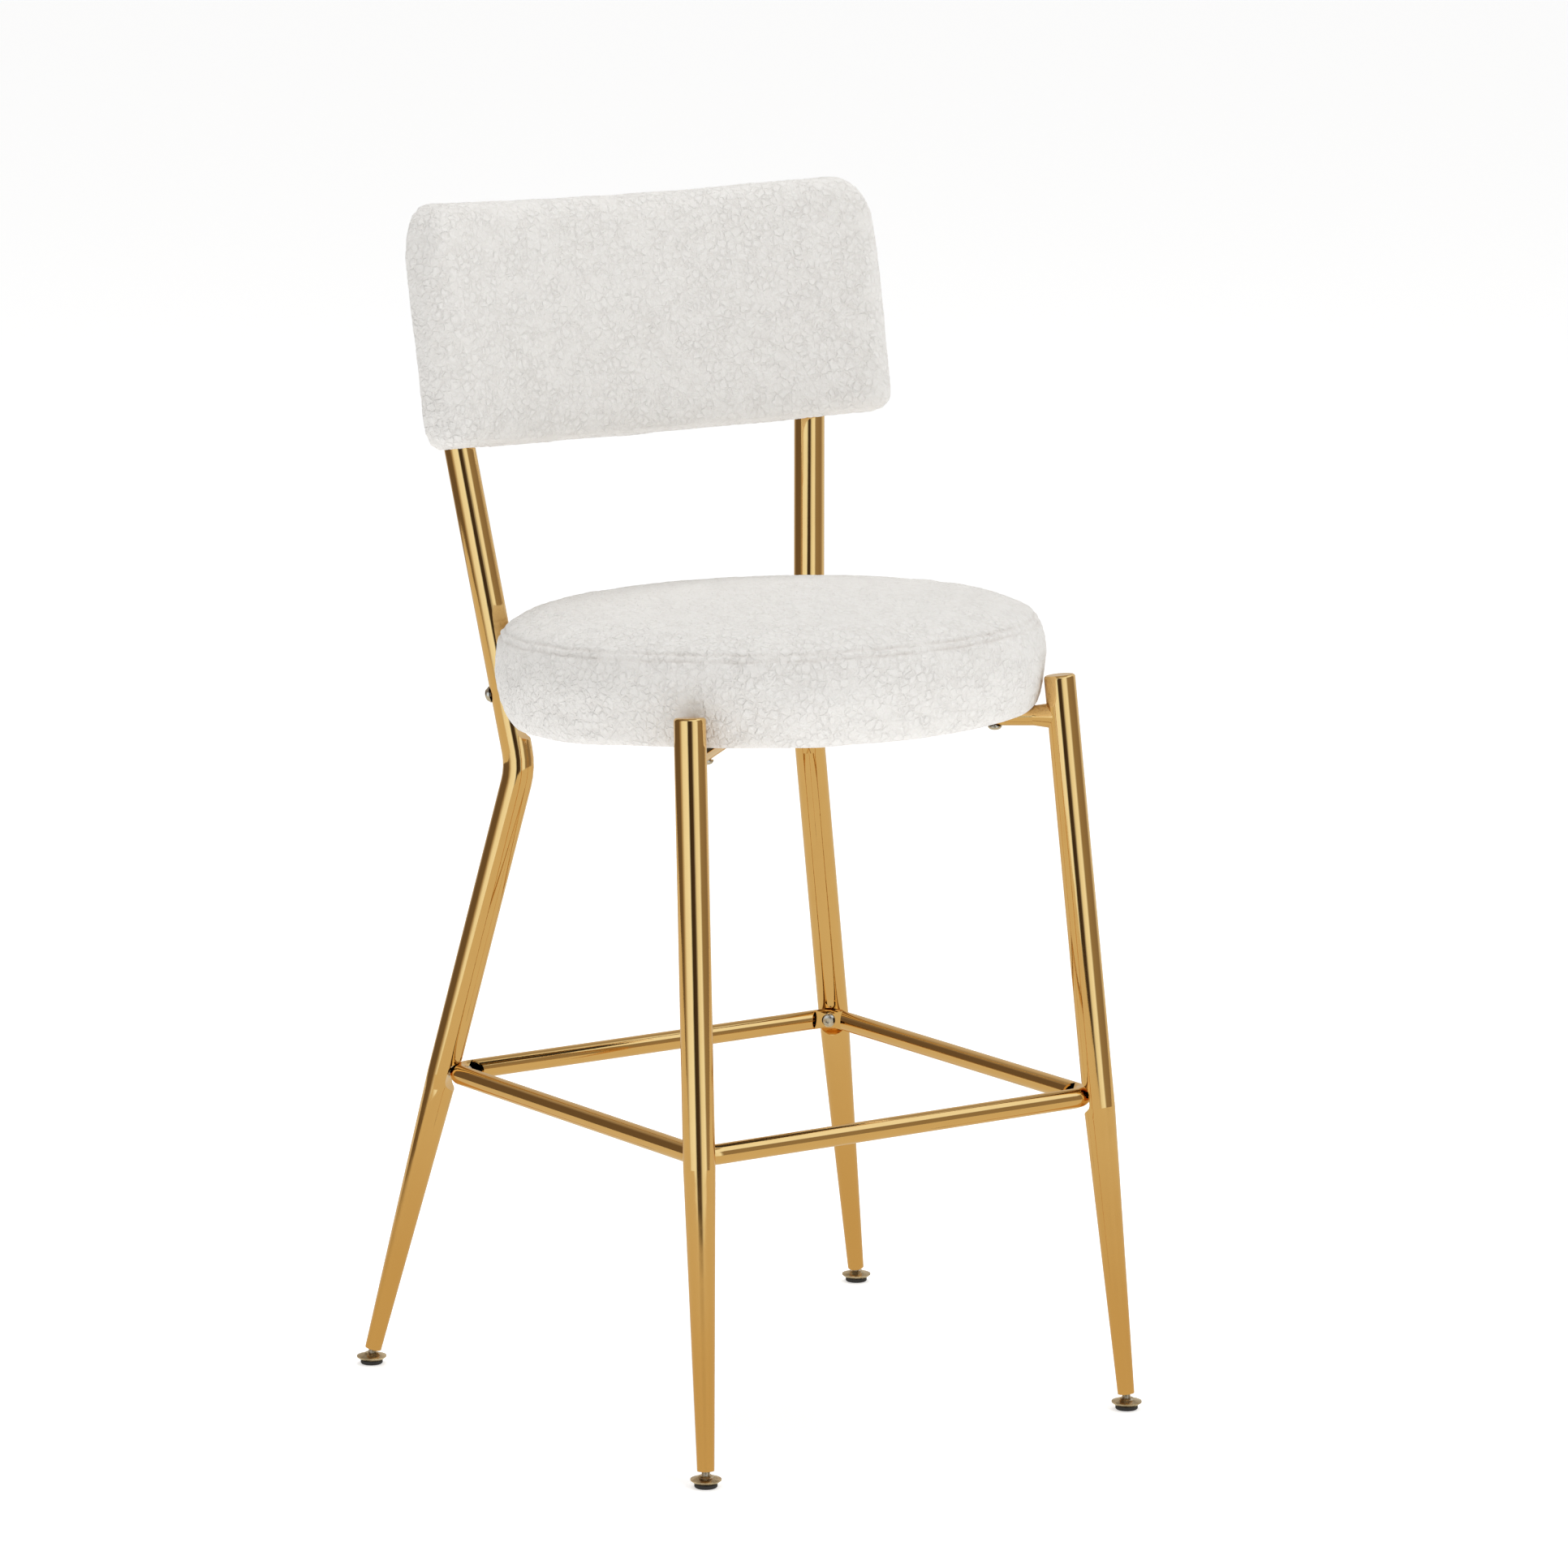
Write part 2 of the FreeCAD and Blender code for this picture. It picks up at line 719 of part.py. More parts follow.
def seat_board():
    board = seat_level_disc(seat_board_radius, dust_cloth, dust_cloth + seat_board_thickness)
    for place in t_nut_places():
        hole = Part.makeCylinder(nut_sleeve_radius + thread_clearance,
                                 seat_board_thickness + 2, Vector(0, 0, -seat_board_thickness - 1))
        board = board.cut(placed(hole, place))
    return board


def seat_t_nuts():
    nut = t_nut(seat_board_thickness - 1.5)
    return Part.makeCompound([placed(nut, place) for place in t_nut_places()])


def seat_screws():
    """Screws up through the cross tubes, heads under the tubes."""
    reach = 2 * cross_radius + dust_cloth + seat_board_thickness
    screw = button_bolt(reach)
    places = [frame_at(p - seat_up * cross_radius, seat_up * -1, Vector(1, 0, 0))
              for p in cross_screw_points()]
    return Part.makeCompound([placed(screw, place) for place in places])


def seat_dust_cover():
    cloth = seat_level_disc(seat_board_radius - 2, 0, dust_cloth)
    for hole in screw_holes(bolt_radius + 1):
        cloth = cloth.cut(hole)
    return cloth


def notched(shape):
    """Leave room for the two tabs that carry the rear of the seat frame."""
    tool = placed(tab_box(soft_gap), tab_frame)
    return shape.cut(tool).cut(mirrored(tool))


def seat_foam():
    skin = cover_thickness + soft_gap
    foam = seat_solid(skin, dust_cloth)
    board_room = seat_level_disc(
        seat_board_radius + soft_gap, 0, dust_cloth + seat_board_thickness + soft_gap
    )
    foam = notched(foam.cut(board_room))
    nut_room = Part.makeCylinder(nut_flange_radius + soft_gap, nut_flange_thickness + 3,
                                 Vector(0, 0, -1))
    for place in t_nut_places():
        foam = foam.cut(placed(nut_room, place))
    return foam


def seat_shell():
    hollow = seat_solid(cover_thickness, -5)
    return seat_solid(0, 0).cut(hollow)


def seam_split():
    """Everything above the seam between the seat's band and its top panel."""
    height = seat_crown + 20
    return placed(Part.makeCylinder(seat_radius + 20, height, Vector(0, 0, seat_band)), seat_frame)


def seat_top_cover():
    return seat_shell().common(seam_split())


def seat_side_cover():
    return notched(seat_shell().cut(seam_split()))


# ---------------------------------------------------------------- backrest

def back_outline(inset, reach):
    """The pad's outline, corners rounded, on a plane that far from the axis it curves round."""
    sweep = back_length / 2 / back_radius
    half = reach * math.tan(sweep) - inset / math.cos(sweep)
    high = back_height / 2 - inset
    top_r = max(back_top_corner - inset, 1.0)
    low_r = max(back_low_corner - inset, 1.0)
    cut = 1 - math.sqrt(0.5)
    y = reach - back_axis_setback

    def corner(sx, sz, r):
        """The two ends of a corner's arc and its middle."""
        return (Vector(sx * half, y, sz * (high - r)),
                Vector(sx * (half - r * cut), y, sz * (high - r * cut)),
                Vector(sx * (half - r), y, sz * high))

    a = corner(1, 1, top_r)
    b = corner(-1, 1, top_r)
    c = corner(-1, -1, low_r)
    d = corner(1, -1, low_r)
    return Part.Wire([
        Part.Arc(*a).toShape(), Part.makeLine(a[2], b[2]),
        Part.Arc(b[2], b[1], b[0]).toShape(), Part.makeLine(b[0], c[0]),
        Part.Arc(*c).toShape(), Part.makeLine(c[2], d[2]),
        Part.Arc(d[2], d[1], d[0]).toShape(), Part.makeLine(d[0], a[0]),
    ])


def back_layer(inset, inner, outer):
    """A slab of the pad between two radii, in the pad's own frame, its ends square to its curve."""
    base = Vector(0, -back_axis_setback, -back_height)
    slab = Part.makeCylinder(outer, 2 * back_height, base).cut(
        Part.makeCylinder(inner, 2 * back_height, base))
    near = back_outline(inset, back_radius * 0.75)
    far = back_outline(inset, back_radius * 1.25)
    return slab.common(Part.makeLoft([near, far], True, True))


def softened(slab, inner, outer, round_front, round_rear):
    """Round the long edges of a slab at its front and rear faces."""
    for radius, amount in ((inner, round_front), (outer, round_rear)):
        edges = []
        for e in slab.Edges:
            mid = e.valueAt((e.FirstParameter + e.LastParameter) / 2)
            ends = [e.valueAt(e.FirstParameter), mid, e.valueAt(e.LastParameter)]
            reach = [math.hypot(p.x, p.y + back_axis_setback) for p in ends]
            if max(abs(r - radius) for r in reach) < 0.05:
                edges.append(e)
        slab = slab.makeFillet(amount, edges)
    return slab


def back_pad(trim):
    inner = back_front_radius + trim
    outer = back_rear_radius - trim
    return softened(back_layer(trim, inner, outer), inner, outer,
                    back_edge_round - trim, (back_edge_round - trim) / 2)


board_outer = back_rear_radius - cover_thickness - soft_gap
board_inner = board_outer - back_board_thickness


def back_bolt_holes(radius, start, end):
    """A rod along each back bolt, from start to end outward of the upright's centreline."""
    holes = []
    for side in (1, -1):
        for level in (-back_bolt_spacing / 2, back_bolt_spacing / 2):
            point = back_bolt_point(side, level)
            out = back_bolt_direction(point)
            holes.append(rod(radius, point + out * start, point + out * end))
    return holes


def without(shape, cutters):
    for cutter in cutters:
        shape = shape.cut(cutter)
    return shape


def backrest_board():
    board = placed(back_layer(back_board_inset, board_inner, board_outer), back_frame)
    return without(board, back_bolt_holes(nut_sleeve_radius + thread_clearance, -60, 0))


def backrest_foam():
    pad = back_pad(cover_thickness + soft_gap)
    room = back_layer(back_board_inset - soft_gap, board_inner - soft_gap, board_outer + 5)
    foam = placed(pad.cut(room), back_frame)
    nut_front = -leg_radius - back_to_upright - back_rear_radius + board_inner
    return without(foam, back_bolt_holes(nut_flange_radius + soft_gap, nut_front - 4, 0))


def backrest_front_cover():
    shell = back_pad(0).cut(back_pad(cover_thickness))
    rear = back_layer(back_panel_inset, board_outer - 1, back_rear_radius + 5)
    return placed(shell.cut(rear), back_frame)


def backrest_rear_cover():
    panel = back_layer(back_panel_inset + thread_clearance,
                       back_rear_radius - cover_thickness, back_rear_radius)
    panel = placed(panel, back_frame)
    return without(panel, back_bolt_holes(bolt_radius + 1, -60, 0))


def back_board_front(point, out):
    """Distance from an upright's centreline in to the board's front face."""
    centre = back_frame.multVec(Vector(0, -back_axis_setback, 0))
    return (point - centre).dot(out) - board_inner


def backrest_t_nuts():
    nuts = []
    for side in (1, -1):
        for level in (-back_bolt_spacing / 2, back_bolt_spacing / 2):
            point = back_bolt_point(side, level)
            out = back_bolt_direction(point)
            place = frame_at(point - out * back_board_front(point, out), out * -1, UP)
            nuts.append(placed(t_nut(back_board_thickness - 1.5), place))
    nuts = [nut.cut(placed_slab_room()) for nut in nuts]
    return Part.makeCompound(nuts)


def placed_slab_room():
    """The board's own curved body near a nut, so a flange seats on its curve."""
    return placed(back_layer(back_board_inset, board_inner, board_inner + 0.8), back_frame).cut(
        Part.makeCompound(back_bolt_holes(nut_sleeve_radius + thread_clearance, -60, 0)))


def backrest_bolts():
    bolts = []
    for side in (1, -1):
        for level in (-back_bolt_spacing / 2, back_bolt_spacing / 2):
            point = back_bolt_point(side, level)
            out = back_bolt_direction(point)
            length = leg_radius + back_board_front(point, out)
            bolts.append(placed(button_bolt(length), frame_at(point + out * leg_radius, out, UP)))
    return Part.makeCompound(bolts)


# ---------------------------------------------------------------- build

def pair(name, shape):
    """A right-hand piece and its mirror image."""
    return {name + "_right": shape, name + "_left": mirrored(shape)}


def build():
    nodes = {}
    nodes.update(pair("front_leg", front_leg()))
    nodes.update(pair("rear_leg", rear_leg()))
    nodes.update(pair("front_leg_cap", tube_cap(front_top, front_slope)))
    nodes.update(pair("upright_cap", tube_cap(upright_end, upright_slope)))
    for place, axis, slope in (("front", front_axis, front_slope), ("rear", rear_axis, rear_slope)):
        nodes.update(pair(place + "_leg_insert", leg_insert(axis, slope)))
        nodes.update(pair(place + "_glide_stud", glide_stud(axis, slope)))
        nodes.update(pair(place + "_glide_disc", glide_disc(axis)))
        nodes.update(pair(place + "_glide_pad", glide_pad(axis)))
    nodes["footrest_ring"] = footrest_ring()
    nodes["footrest_bolts"] = footrest_bolts()
    nodes["footrest_rivet_nuts"] = footrest_rivet_nuts()
    nodes["cross_tube_long"] = cross_tube_long()
    nodes["cross_tube_short_front"] = cross_tube_short(True)
    nodes["cross_tube_short_rear"] = cross_tube_short(False)
    nodes.update(pair("rear_tab", rear_tab()))
    nodes["frame_bolts"] = Part.makeCompound([frame_bolt(), mirrored(frame_bolt())])
    nodes["frame_washers"] = Part.makeCompound([frame_washer(), mirrored(frame_washer())])
    nodes["seat_board"] = seat_board()
    nodes["seat_t_nuts"] = seat_t_nuts()
    nodes["seat_screws"] = seat_screws()
    nodes["seat_dust_cover"] = seat_dust_cover()
    nodes["seat_foam"] = seat_foam()
    nodes["seat_side_cover"] = seat_side_cover()
    nodes["seat_top_cover"] = seat_top_cover()
    nodes["backrest_board"] = backrest_board()
    nodes["backrest_t_nuts"] = backrest_t_nuts()
    nodes["backrest_bolts"] = backrest_bolts()
    nodes["backrest_foam"] = backrest_foam()
    nodes["backrest_front_cover"] = backrest_front_cover()
    nodes["backrest_rear_cover"] = backrest_rear_cover()
    return nodes


os.makedirs("parts", exist_ok=True)
for name, shape in build().items():
    shape.exportStep("parts/" + name + ".step")
    print(name, len(shape.Solids), round(shape.Volume), shape.isValid())
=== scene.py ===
import json
import math
import bpy
import bmesh
import numpy as np
from mathutils import Matrix, Vector


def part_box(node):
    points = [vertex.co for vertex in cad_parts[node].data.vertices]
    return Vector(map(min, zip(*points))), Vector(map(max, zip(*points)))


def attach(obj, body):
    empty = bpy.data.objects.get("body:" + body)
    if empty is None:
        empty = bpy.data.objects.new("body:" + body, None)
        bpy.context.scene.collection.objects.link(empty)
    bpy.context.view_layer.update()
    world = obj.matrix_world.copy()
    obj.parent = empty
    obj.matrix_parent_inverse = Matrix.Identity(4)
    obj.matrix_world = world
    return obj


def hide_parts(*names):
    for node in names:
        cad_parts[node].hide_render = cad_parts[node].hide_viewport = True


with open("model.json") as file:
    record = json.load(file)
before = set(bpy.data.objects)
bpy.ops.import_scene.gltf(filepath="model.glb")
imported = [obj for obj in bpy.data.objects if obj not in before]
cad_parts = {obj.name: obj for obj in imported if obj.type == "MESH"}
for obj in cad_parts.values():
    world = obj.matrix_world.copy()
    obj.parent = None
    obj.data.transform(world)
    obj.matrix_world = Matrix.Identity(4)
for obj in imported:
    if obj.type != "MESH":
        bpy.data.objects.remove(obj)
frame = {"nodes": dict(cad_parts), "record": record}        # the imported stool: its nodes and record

for name in ("Cube", "Light", "Camera"):
    if name in bpy.data.objects:
        bpy.data.objects.remove(bpy.data.objects[name])
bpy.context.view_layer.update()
nodes = frame["nodes"]
scene = bpy.context.scene
mm = 0.001


shot = {
    "turn": -33.147,              # degrees round the stool, 0 looks at its front
    "rise": 10.903,
    "distance": 5.835,
    "aim": (0.1369, 0.1782, 0.450),
    "lens": 161.3,
}


def addCamera():
    turn, rise = math.radians(shot["turn"]), math.radians(shot["rise"])
    back = Vector((math.sin(turn) * math.cos(rise), -math.cos(turn) * math.cos(rise), math.sin(rise)))
    camera = bpy.data.objects.new("camera", bpy.data.cameras.new("camera"))
    camera.data.lens = shot["lens"]
    camera.data.sensor_width = 36
    camera.data.clip_start = 0.1
    camera.data.clip_end = 200
    camera.location = Vector(shot["aim"]) + back * shot["distance"]
    camera.rotation_mode = "QUATERNION"
    camera.rotation_quaternion = (-back).to_track_quat("-Z", "Y")
    scene.collection.objects.link(camera)
    scene.camera = camera


class Wire:
    # one output socket; + - * / on it add Math nodes
    def __init__(self, sheet, socket):
        self.sheet = sheet
        self.socket = socket

    def math(self, operation, *values):
        return self.sheet.node("Math", {"operation": operation}, dict(enumerate(values)))

    def __add__(self, other):
        return self.math("ADD", self, other)

    def __radd__(self, other):
        return self.math("ADD", other, self)

    def __sub__(self, other):
        return self.math("SUBTRACT", self, other)

    def __rsub__(self, other):
        return self.math("SUBTRACT", other, self)

    def __mul__(self, other):
        return self.math("MULTIPLY", self, other)

    def __rmul__(self, other):
        return self.math("MULTIPLY", other, self)

    def __truediv__(self, other):
        return self.math("DIVIDE", self, other)

    def __rtruediv__(self, other):
        return self.math("DIVIDE", other, self)


class Sheet:
    # a node tree; node() is the only way that nodes are made
    def __init__(self, tree):
        self.tree = tree
        tree.nodes.clear()

    def node(self, kind, settings=None, values=None, out=0):
        made = self.tree.nodes.new("ShaderNode" + kind)
        for key, value in (settings or {}).items():
            if key == "stops":
                self.setStops(made.color_ramp, value)
            else:
                setattr(made, key, value)
        for key, value in (values or {}).items():
            self.feed(made.inputs[key], value)
        return Wire(self, made.outputs[out]) if len(made.outputs) else None

    def feed(self, socket, value):
        if isinstance(value, Wire):
            self.tree.links.new(value.socket, socket)
        elif hasattr(value, "__len__") and len(value) == 3 and socket.type == "RGBA":
            socket.default_value = (*value, 1)
        else:
            socket.default_value = value

    def setStops(self, ramp, stops):
        while len(ramp.elements) < len(stops):
            ramp.elements.new(0.5)
        for element, (place, colour) in zip(ramp.elements, stops):
            element.position = place
            element.color = (*colour, 1) if hasattr(colour, "__len__") else (colour, colour, colour, 1)

    def place(self, scale=1.0):
        spot = self.node("TexCoord", out="Object")
        return self.node("VectorMath", {"operation": "SCALE"}, {0: spot, "Scale": scale})

    def mix(self, share, first, second):
        return self.node("Mix", {"data_type": "RGBA"}, {0: share, 6: first, 7: second}, out=2)

    def ramp(self, value, *stops):
        return self.node("ValToRGB", {"stops": stops}, {0: value})

    def noise(self, spot, scale, detail=2.0, rough=0.5, warp=0.0):
        return self.node("TexNoise", {}, {"Vector": spot, "Scale": scale, "Detail": detail,
                                          "Roughness": rough, "Distortion": warp})

    def span(self, value, low, high, first=0.0, second=1.0):
        return self.node("MapRange", {"interpolation_type": "SMOOTHSTEP"},
                         {0: value, 1: low, 2: high, 3: first, 4: second})

    def bump(self, height, strength, distance, under=None):
        values = {"Height": height, "Strength": strength, "Distance": distance}
        if under:
            values["Normal"] = under
        return self.node("Bump", {}, values)


studio = {
    "glow": 0.50,                 # soft light from all round
    "glowColour": (1.0, 0.997, 0.99),
    "floor": 0.90,
    "floorGlow": 0.52,
    "floorReach": 40,
    "wall": 2.8,                  # metres from the stool to the cards that the metal mirrors
    "wallHeight": 1.7,
    # what polished metal sees level with it, by the angle round from the camera's side, -180 to 180
    "stripes": ((0.00, (0.62, 0.55, 0.44)), (0.10, (0.48, 0.42, 0.34)), (0.15, (0.16, 0.12, 0.09)),
                (0.285, (0.17, 0.13, 0.09)), (0.31, (0.42, 0.36, 0.27)), (0.355, (0.98, 1.10, 1.25)),
                (0.44, (1.06, 1.24, 1.50)), (0.465, (0.05, 0.04, 0.03)), (0.525, (0.07, 0.05, 0.04)),
                (0.56, (0.92, 1.02, 1.10)), (0.625, (1.05, 1.22, 1.46)), (0.655, (0.34, 0.29, 0.22)),
                (0.80, (0.28, 0.23, 0.18)), (0.86, (0.78, 0.78, 0.74)), (1.00, (0.62, 0.55, 0.44))),
    # and overhead
    "panel": ((0.00, (0.40, 0.36, 0.30)), (0.30, (0.20, 0.16, 0.12)), (0.44, (0.24, 0.20, 0.15)),
              (0.50, (1.06, 1.24, 1.50)), (0.86, (1.02, 1.16, 1.36)), (0.92, (0.40, 0.36, 0.30))),
    "above": (0.46, 0.42, 0.37),
    "below": (0.70, 0.645, 0.515),
}


def roundFromCamera(x, y):
    # the bearing of a point or direction, 0 to 1, with the camera's side at 0.5
    turn = math.radians(shot["turn"] - 90)
    along = x * math.cos(turn) + y * math.sin(turn)
    across = y * math.cos(turn) - x * math.sin(turn)
    return across.math("ARCTAN2", across, along) / (2 * math.pi) + 0.5


def addCard(name, points, faces, paint):
    # a glowing surface that only polished metal sees
    mesh = bpy.data.meshes.new(name)
    mesh.from_pydata(points, [], faces)
    card = bpy.data.objects.new(name, mesh)
    card.visible_camera = card.visible_diffuse = card.visible_shadow = card.visible_transmission = False
    scene.collection.objects.link(card)
    glow = bpy.data.materials.new(name)
    glow.use_nodes = True
    sheet = Sheet(glow.node_tree)
    shade = sheet.node("Emission", {}, {"Color": paint(sheet)})
    sheet.node("OutputMaterial", {}, {"Surface": shade})
    mesh.materials.append(glow)


def paintWall(sheet):
    parts = sheet.node("SeparateXYZ", {}, {0: sheet.place()}).socket.node
    angle = roundFromCamera(Wire(sheet, parts.outputs[0]), Wire(sheet, parts.outputs[1]))
    return sheet.ramp(angle, *studio["stripes"])


def paintMirroredFloor(sheet):
    brighter = [c * 1.06 for c in studio["below"]]
    return sheet.mix(sheet.noise(sheet.place(), 1.5), studio["below"], brighter)


def addCards():
    reach, count = studio["wall"], 180
    ring = [(reach * math.sin(2 * math.pi * k / count), reach * math.cos(2 * math.pi * k / count))
            for k in range(count)]
    points = [(x, y, z) for z in (-0.001, studio["wallHeight"]) for x, y in ring]
    faces = [(k, (k + 1) % count, count + (k + 1) % count, count + k) for k in range(count)]
    addCard("stripedWall", points, faces, paintWall)
    addCard("mirroredFloor", points[:count], [tuple(range(count))], paintMirroredFloor)


def addWorld():
    world = bpy.data.worlds.new("studio")
    scene.world = world
    world.use_nodes = True
    sheet = Sheet(world.node_tree)
    ray = sheet.node("TexCoord", out="Generated")
    parts = sheet.node("SeparateXYZ", {}, {0: ray}).socket.node
    x, y, z = (Wire(sheet, parts.outputs[i]) for i in range(3))
    angle = roundFromCamera(x, y)
    seen = sheet.ramp(angle, *studio["stripes"])
    seen = sheet.mix(sheet.span(z, 0.50, 0.60), seen, sheet.ramp(angle, *studio["panel"]))
    seen = sheet.mix(sheet.span(z, 0.84, 0.90), seen, studio["above"])
    seen = sheet.mix(sheet.span(z, -0.015, -0.060), seen, studio["below"])
    light = sheet.node("LightPath", out="Is Glossy Ray")
    soft = sheet.mix(sheet.span(z, -0.2, 0.6), (0.80, 0.79, 0.78), studio["glowColour"])
    soft = sheet.node("VectorMath", {"operation": "SCALE"}, {0: soft, "Scale": studio["glow"]})
    colour = sheet.mix(light, soft, seen)
    view = sheet.node("LightPath", out="Is Camera Ray")
    colour = sheet.mix(view, colour, (1.0, 1.0, 1.0))
    ground = sheet.node("Background", {}, {"Color": colour, "Strength": 1.0})
    sheet.node("OutputWorld", {}, {"Surface": ground})


lamps = {                         # place, what it points at, width, watts
    "keyLight": ((0.9, -3.9, 3.9), (0, 0, 0.5), 1.7, 46),
    "topLight": ((0.4, 0.6, 4.6), (0, 0, 0.4), 3.0, 66),
    "fillLight": ((-3.6, -1.2, 2.0), (0, 0, 0.5), 2.4, 6),
}


def addLamp(name, place, aim, size, power):
    lamp = bpy.data.lights.new(name, "AREA")
    lamp.shape = "DISK"
    lamp.size = size
    lamp.energy = power
    made = bpy.data.objects.new(name, lamp)
    made.location = place
    made.rotation_mode = "QUATERNION"
    made.rotation_quaternion = (Vector(aim) - Vector(place)).to_track_quat("-Z", "Y")
    made.visible_glossy = False
    scene.collection.objects.link(made)


def addStage():
    mesh = bpy.data.meshes.new("studioFloor")
    reach = studio["floorReach"]
    mesh.from_pydata([(-reach, -reach, 0), (reach, -reach, 0), (reach, reach, 0), (-reach, reach, 0)],
                     [], [(0, 1, 2, 3)])
    floor = bpy.data.objects.new("studioFloor", mesh)
    floor.location.z = -0.0003
    floor.visible_glossy = False
    scene.collection.objects.link(floor)
    paint = bpy.data.materials.new("paleFloor")
    paint.use_nodes = True
    sheet = Sheet(paint.node_tree)
    values = {"Base Color": (studio["floor"],) * 3, "Roughness": 0.9, "Specular IOR Level": 0.1,
              "Emission Color": (1.0, 1.0, 1.0), "Emission Strength": studio["floorGlow"]}
    shade = sheet.node("BsdfPrincipled", {}, values)
    sheet.node("OutputMaterial", {}, {"Surface": shade})
    mesh.materials.append(paint)
    for name, facts in lamps.items():
        addLamp(name, *facts)


scene.view_settings.view_transform = "Standard"
scene.view_settings.look = "None"
addCamera()
addWorld()
addStage()
addCards()
print("studio ready")


def finish(name, fixed, paint):
    # fixed holds what is the same all over; paint(sheet) gives what varies
    made = bpy.data.materials.new(name)
    made.use_nodes = True
    sheet = Sheet(made.node_tree)
    values = dict(fixed)
    values.update(paint(sheet))
    shade = sheet.node("BsdfPrincipled", {}, values)
    sheet.node("OutputMaterial", {}, {"Surface": shade})
    return made


gold = {
    "plate": (0.83, 0.535, 0.205),
    "paintedFloorReflection": (0.75, 0.435, 0.135),     # painted reflection: the lower legs tinted deeper orange, as if mirroring the warm floor
    "paintedReflectionBelow": 0.06,                # metres above the floor
    "plainAbove": 0.28,
    "polish": 0.05,
    "haze": 0.13,                     # roughness of the lower legs
}


def paintGold(sheet):
    spot = sheet.place()
    height = sheet.node("SeparateXYZ", {}, {0: spot}, out=2)
    wander = sheet.noise(spot, 9.0, 2.0) * 0.10 - 0.05
    # painted reflection of the floor: the gold turns deeper orange towards the bottom of the legs
    up = sheet.span(height + wander, gold["paintedReflectionBelow"], gold["plainAbove"])
    colour = sheet.mix(up, gold["paintedFloorReflection"], gold["plate"])
    cloud = sheet.span(sheet.noise(spot, 38.0, 3.0, 0.6), 0.35, 0.75)
    colour = sheet.mix(cloud * 0.12, colour, (0.72, 0.42, 0.14))
    specks = sheet.span(sheet.noise(spot, 900.0, 1.0), 0.70, 0.82)
    rough = sheet.mix(up, (gold["haze"],) * 3, (gold["polish"],) * 3)
    rough = rough + cloud * 0.03 + specks * 0.06
    drawn = sheet.node("VectorMath", {"operation": "MULTIPLY"}, {0: spot, 1: (1.0, 1.0, 0.03)})
    lines = sheet.noise(drawn, 700.0, 2.0)
    swell = sheet.noise(spot, 26.0, 1.0)
    normal = sheet.bump(lines, 0.05, 0.0002)
    normal = sheet.bump(swell, 0.10, 0.0012, normal)
    return {"Base Color": colour, "Roughness": rough, "Normal": normal}


zinc = {"light": (0.76, 0.71, 0.62), "dark": (0.54, 0.49, 0.40)}


def paintZinc(sheet):
    spot = sheet.place()
    cloud = sheet.noise(spot, 260.0, 3.0, 0.6)
    colour = sheet.mix(sheet.span(cloud, 0.3, 0.7), zinc["dark"], zinc["light"])
    rough = sheet.span(cloud, 0.2, 0.8, 0.22, 0.38)
    return {"Base Color": colour, "Roughness": rough, "Normal": sheet.bump(cloud, 0.15, 0.0003)}


nickel = {"light": (0.76, 0.63, 0.44), "dark": (0.46, 0.37, 0.24)}


def paintNickel(sheet):
    spot = sheet.place()
    cloud = sheet.noise(spot, 120.0, 4.0, 0.6)
    turned = sheet.noise(sheet.node("VectorMath", {"operation": "MULTIPLY"},
                                    {0: spot, 1: (0.05, 0.05, 1.0)}), 2400.0, 2.0)
    colour = sheet.mix(sheet.span(cloud, 0.35, 0.7), nickel["dark"], nickel["light"])
    rough = sheet.span(cloud, 0.2, 0.8, 0.16, 0.30)
    return {"Base Color": colour, "Roughness": rough, "Normal": sheet.bump(turned, 0.2, 0.0002)}


def paintRubber(sheet):
    spot = sheet.place()
    grain = sheet.noise(spot, 1600.0, 2.0)
    cloud = sheet.noise(spot, 90.0, 3.0)
    colour = sheet.mix(cloud, (0.018, 0.017, 0.016), (0.045, 0.042, 0.040))
    return {"Base Color": colour, "Roughness": sheet.span(cloud, 0.2, 0.8, 0.62, 0.8),
            "Normal": sheet.bump(grain, 0.4, 0.0003)}


pile = {
    "top": (0.905, 0.890, 0.862),
    # colour of the painted shade in the hollows between curls and in the seam grooves
    "creaseShade": (0.66, 0.60, 0.545),
    "lumps": 152.0,                # curled lumps to a metre
    "curls": 370.0,
    "fibres": 1500.0,
}


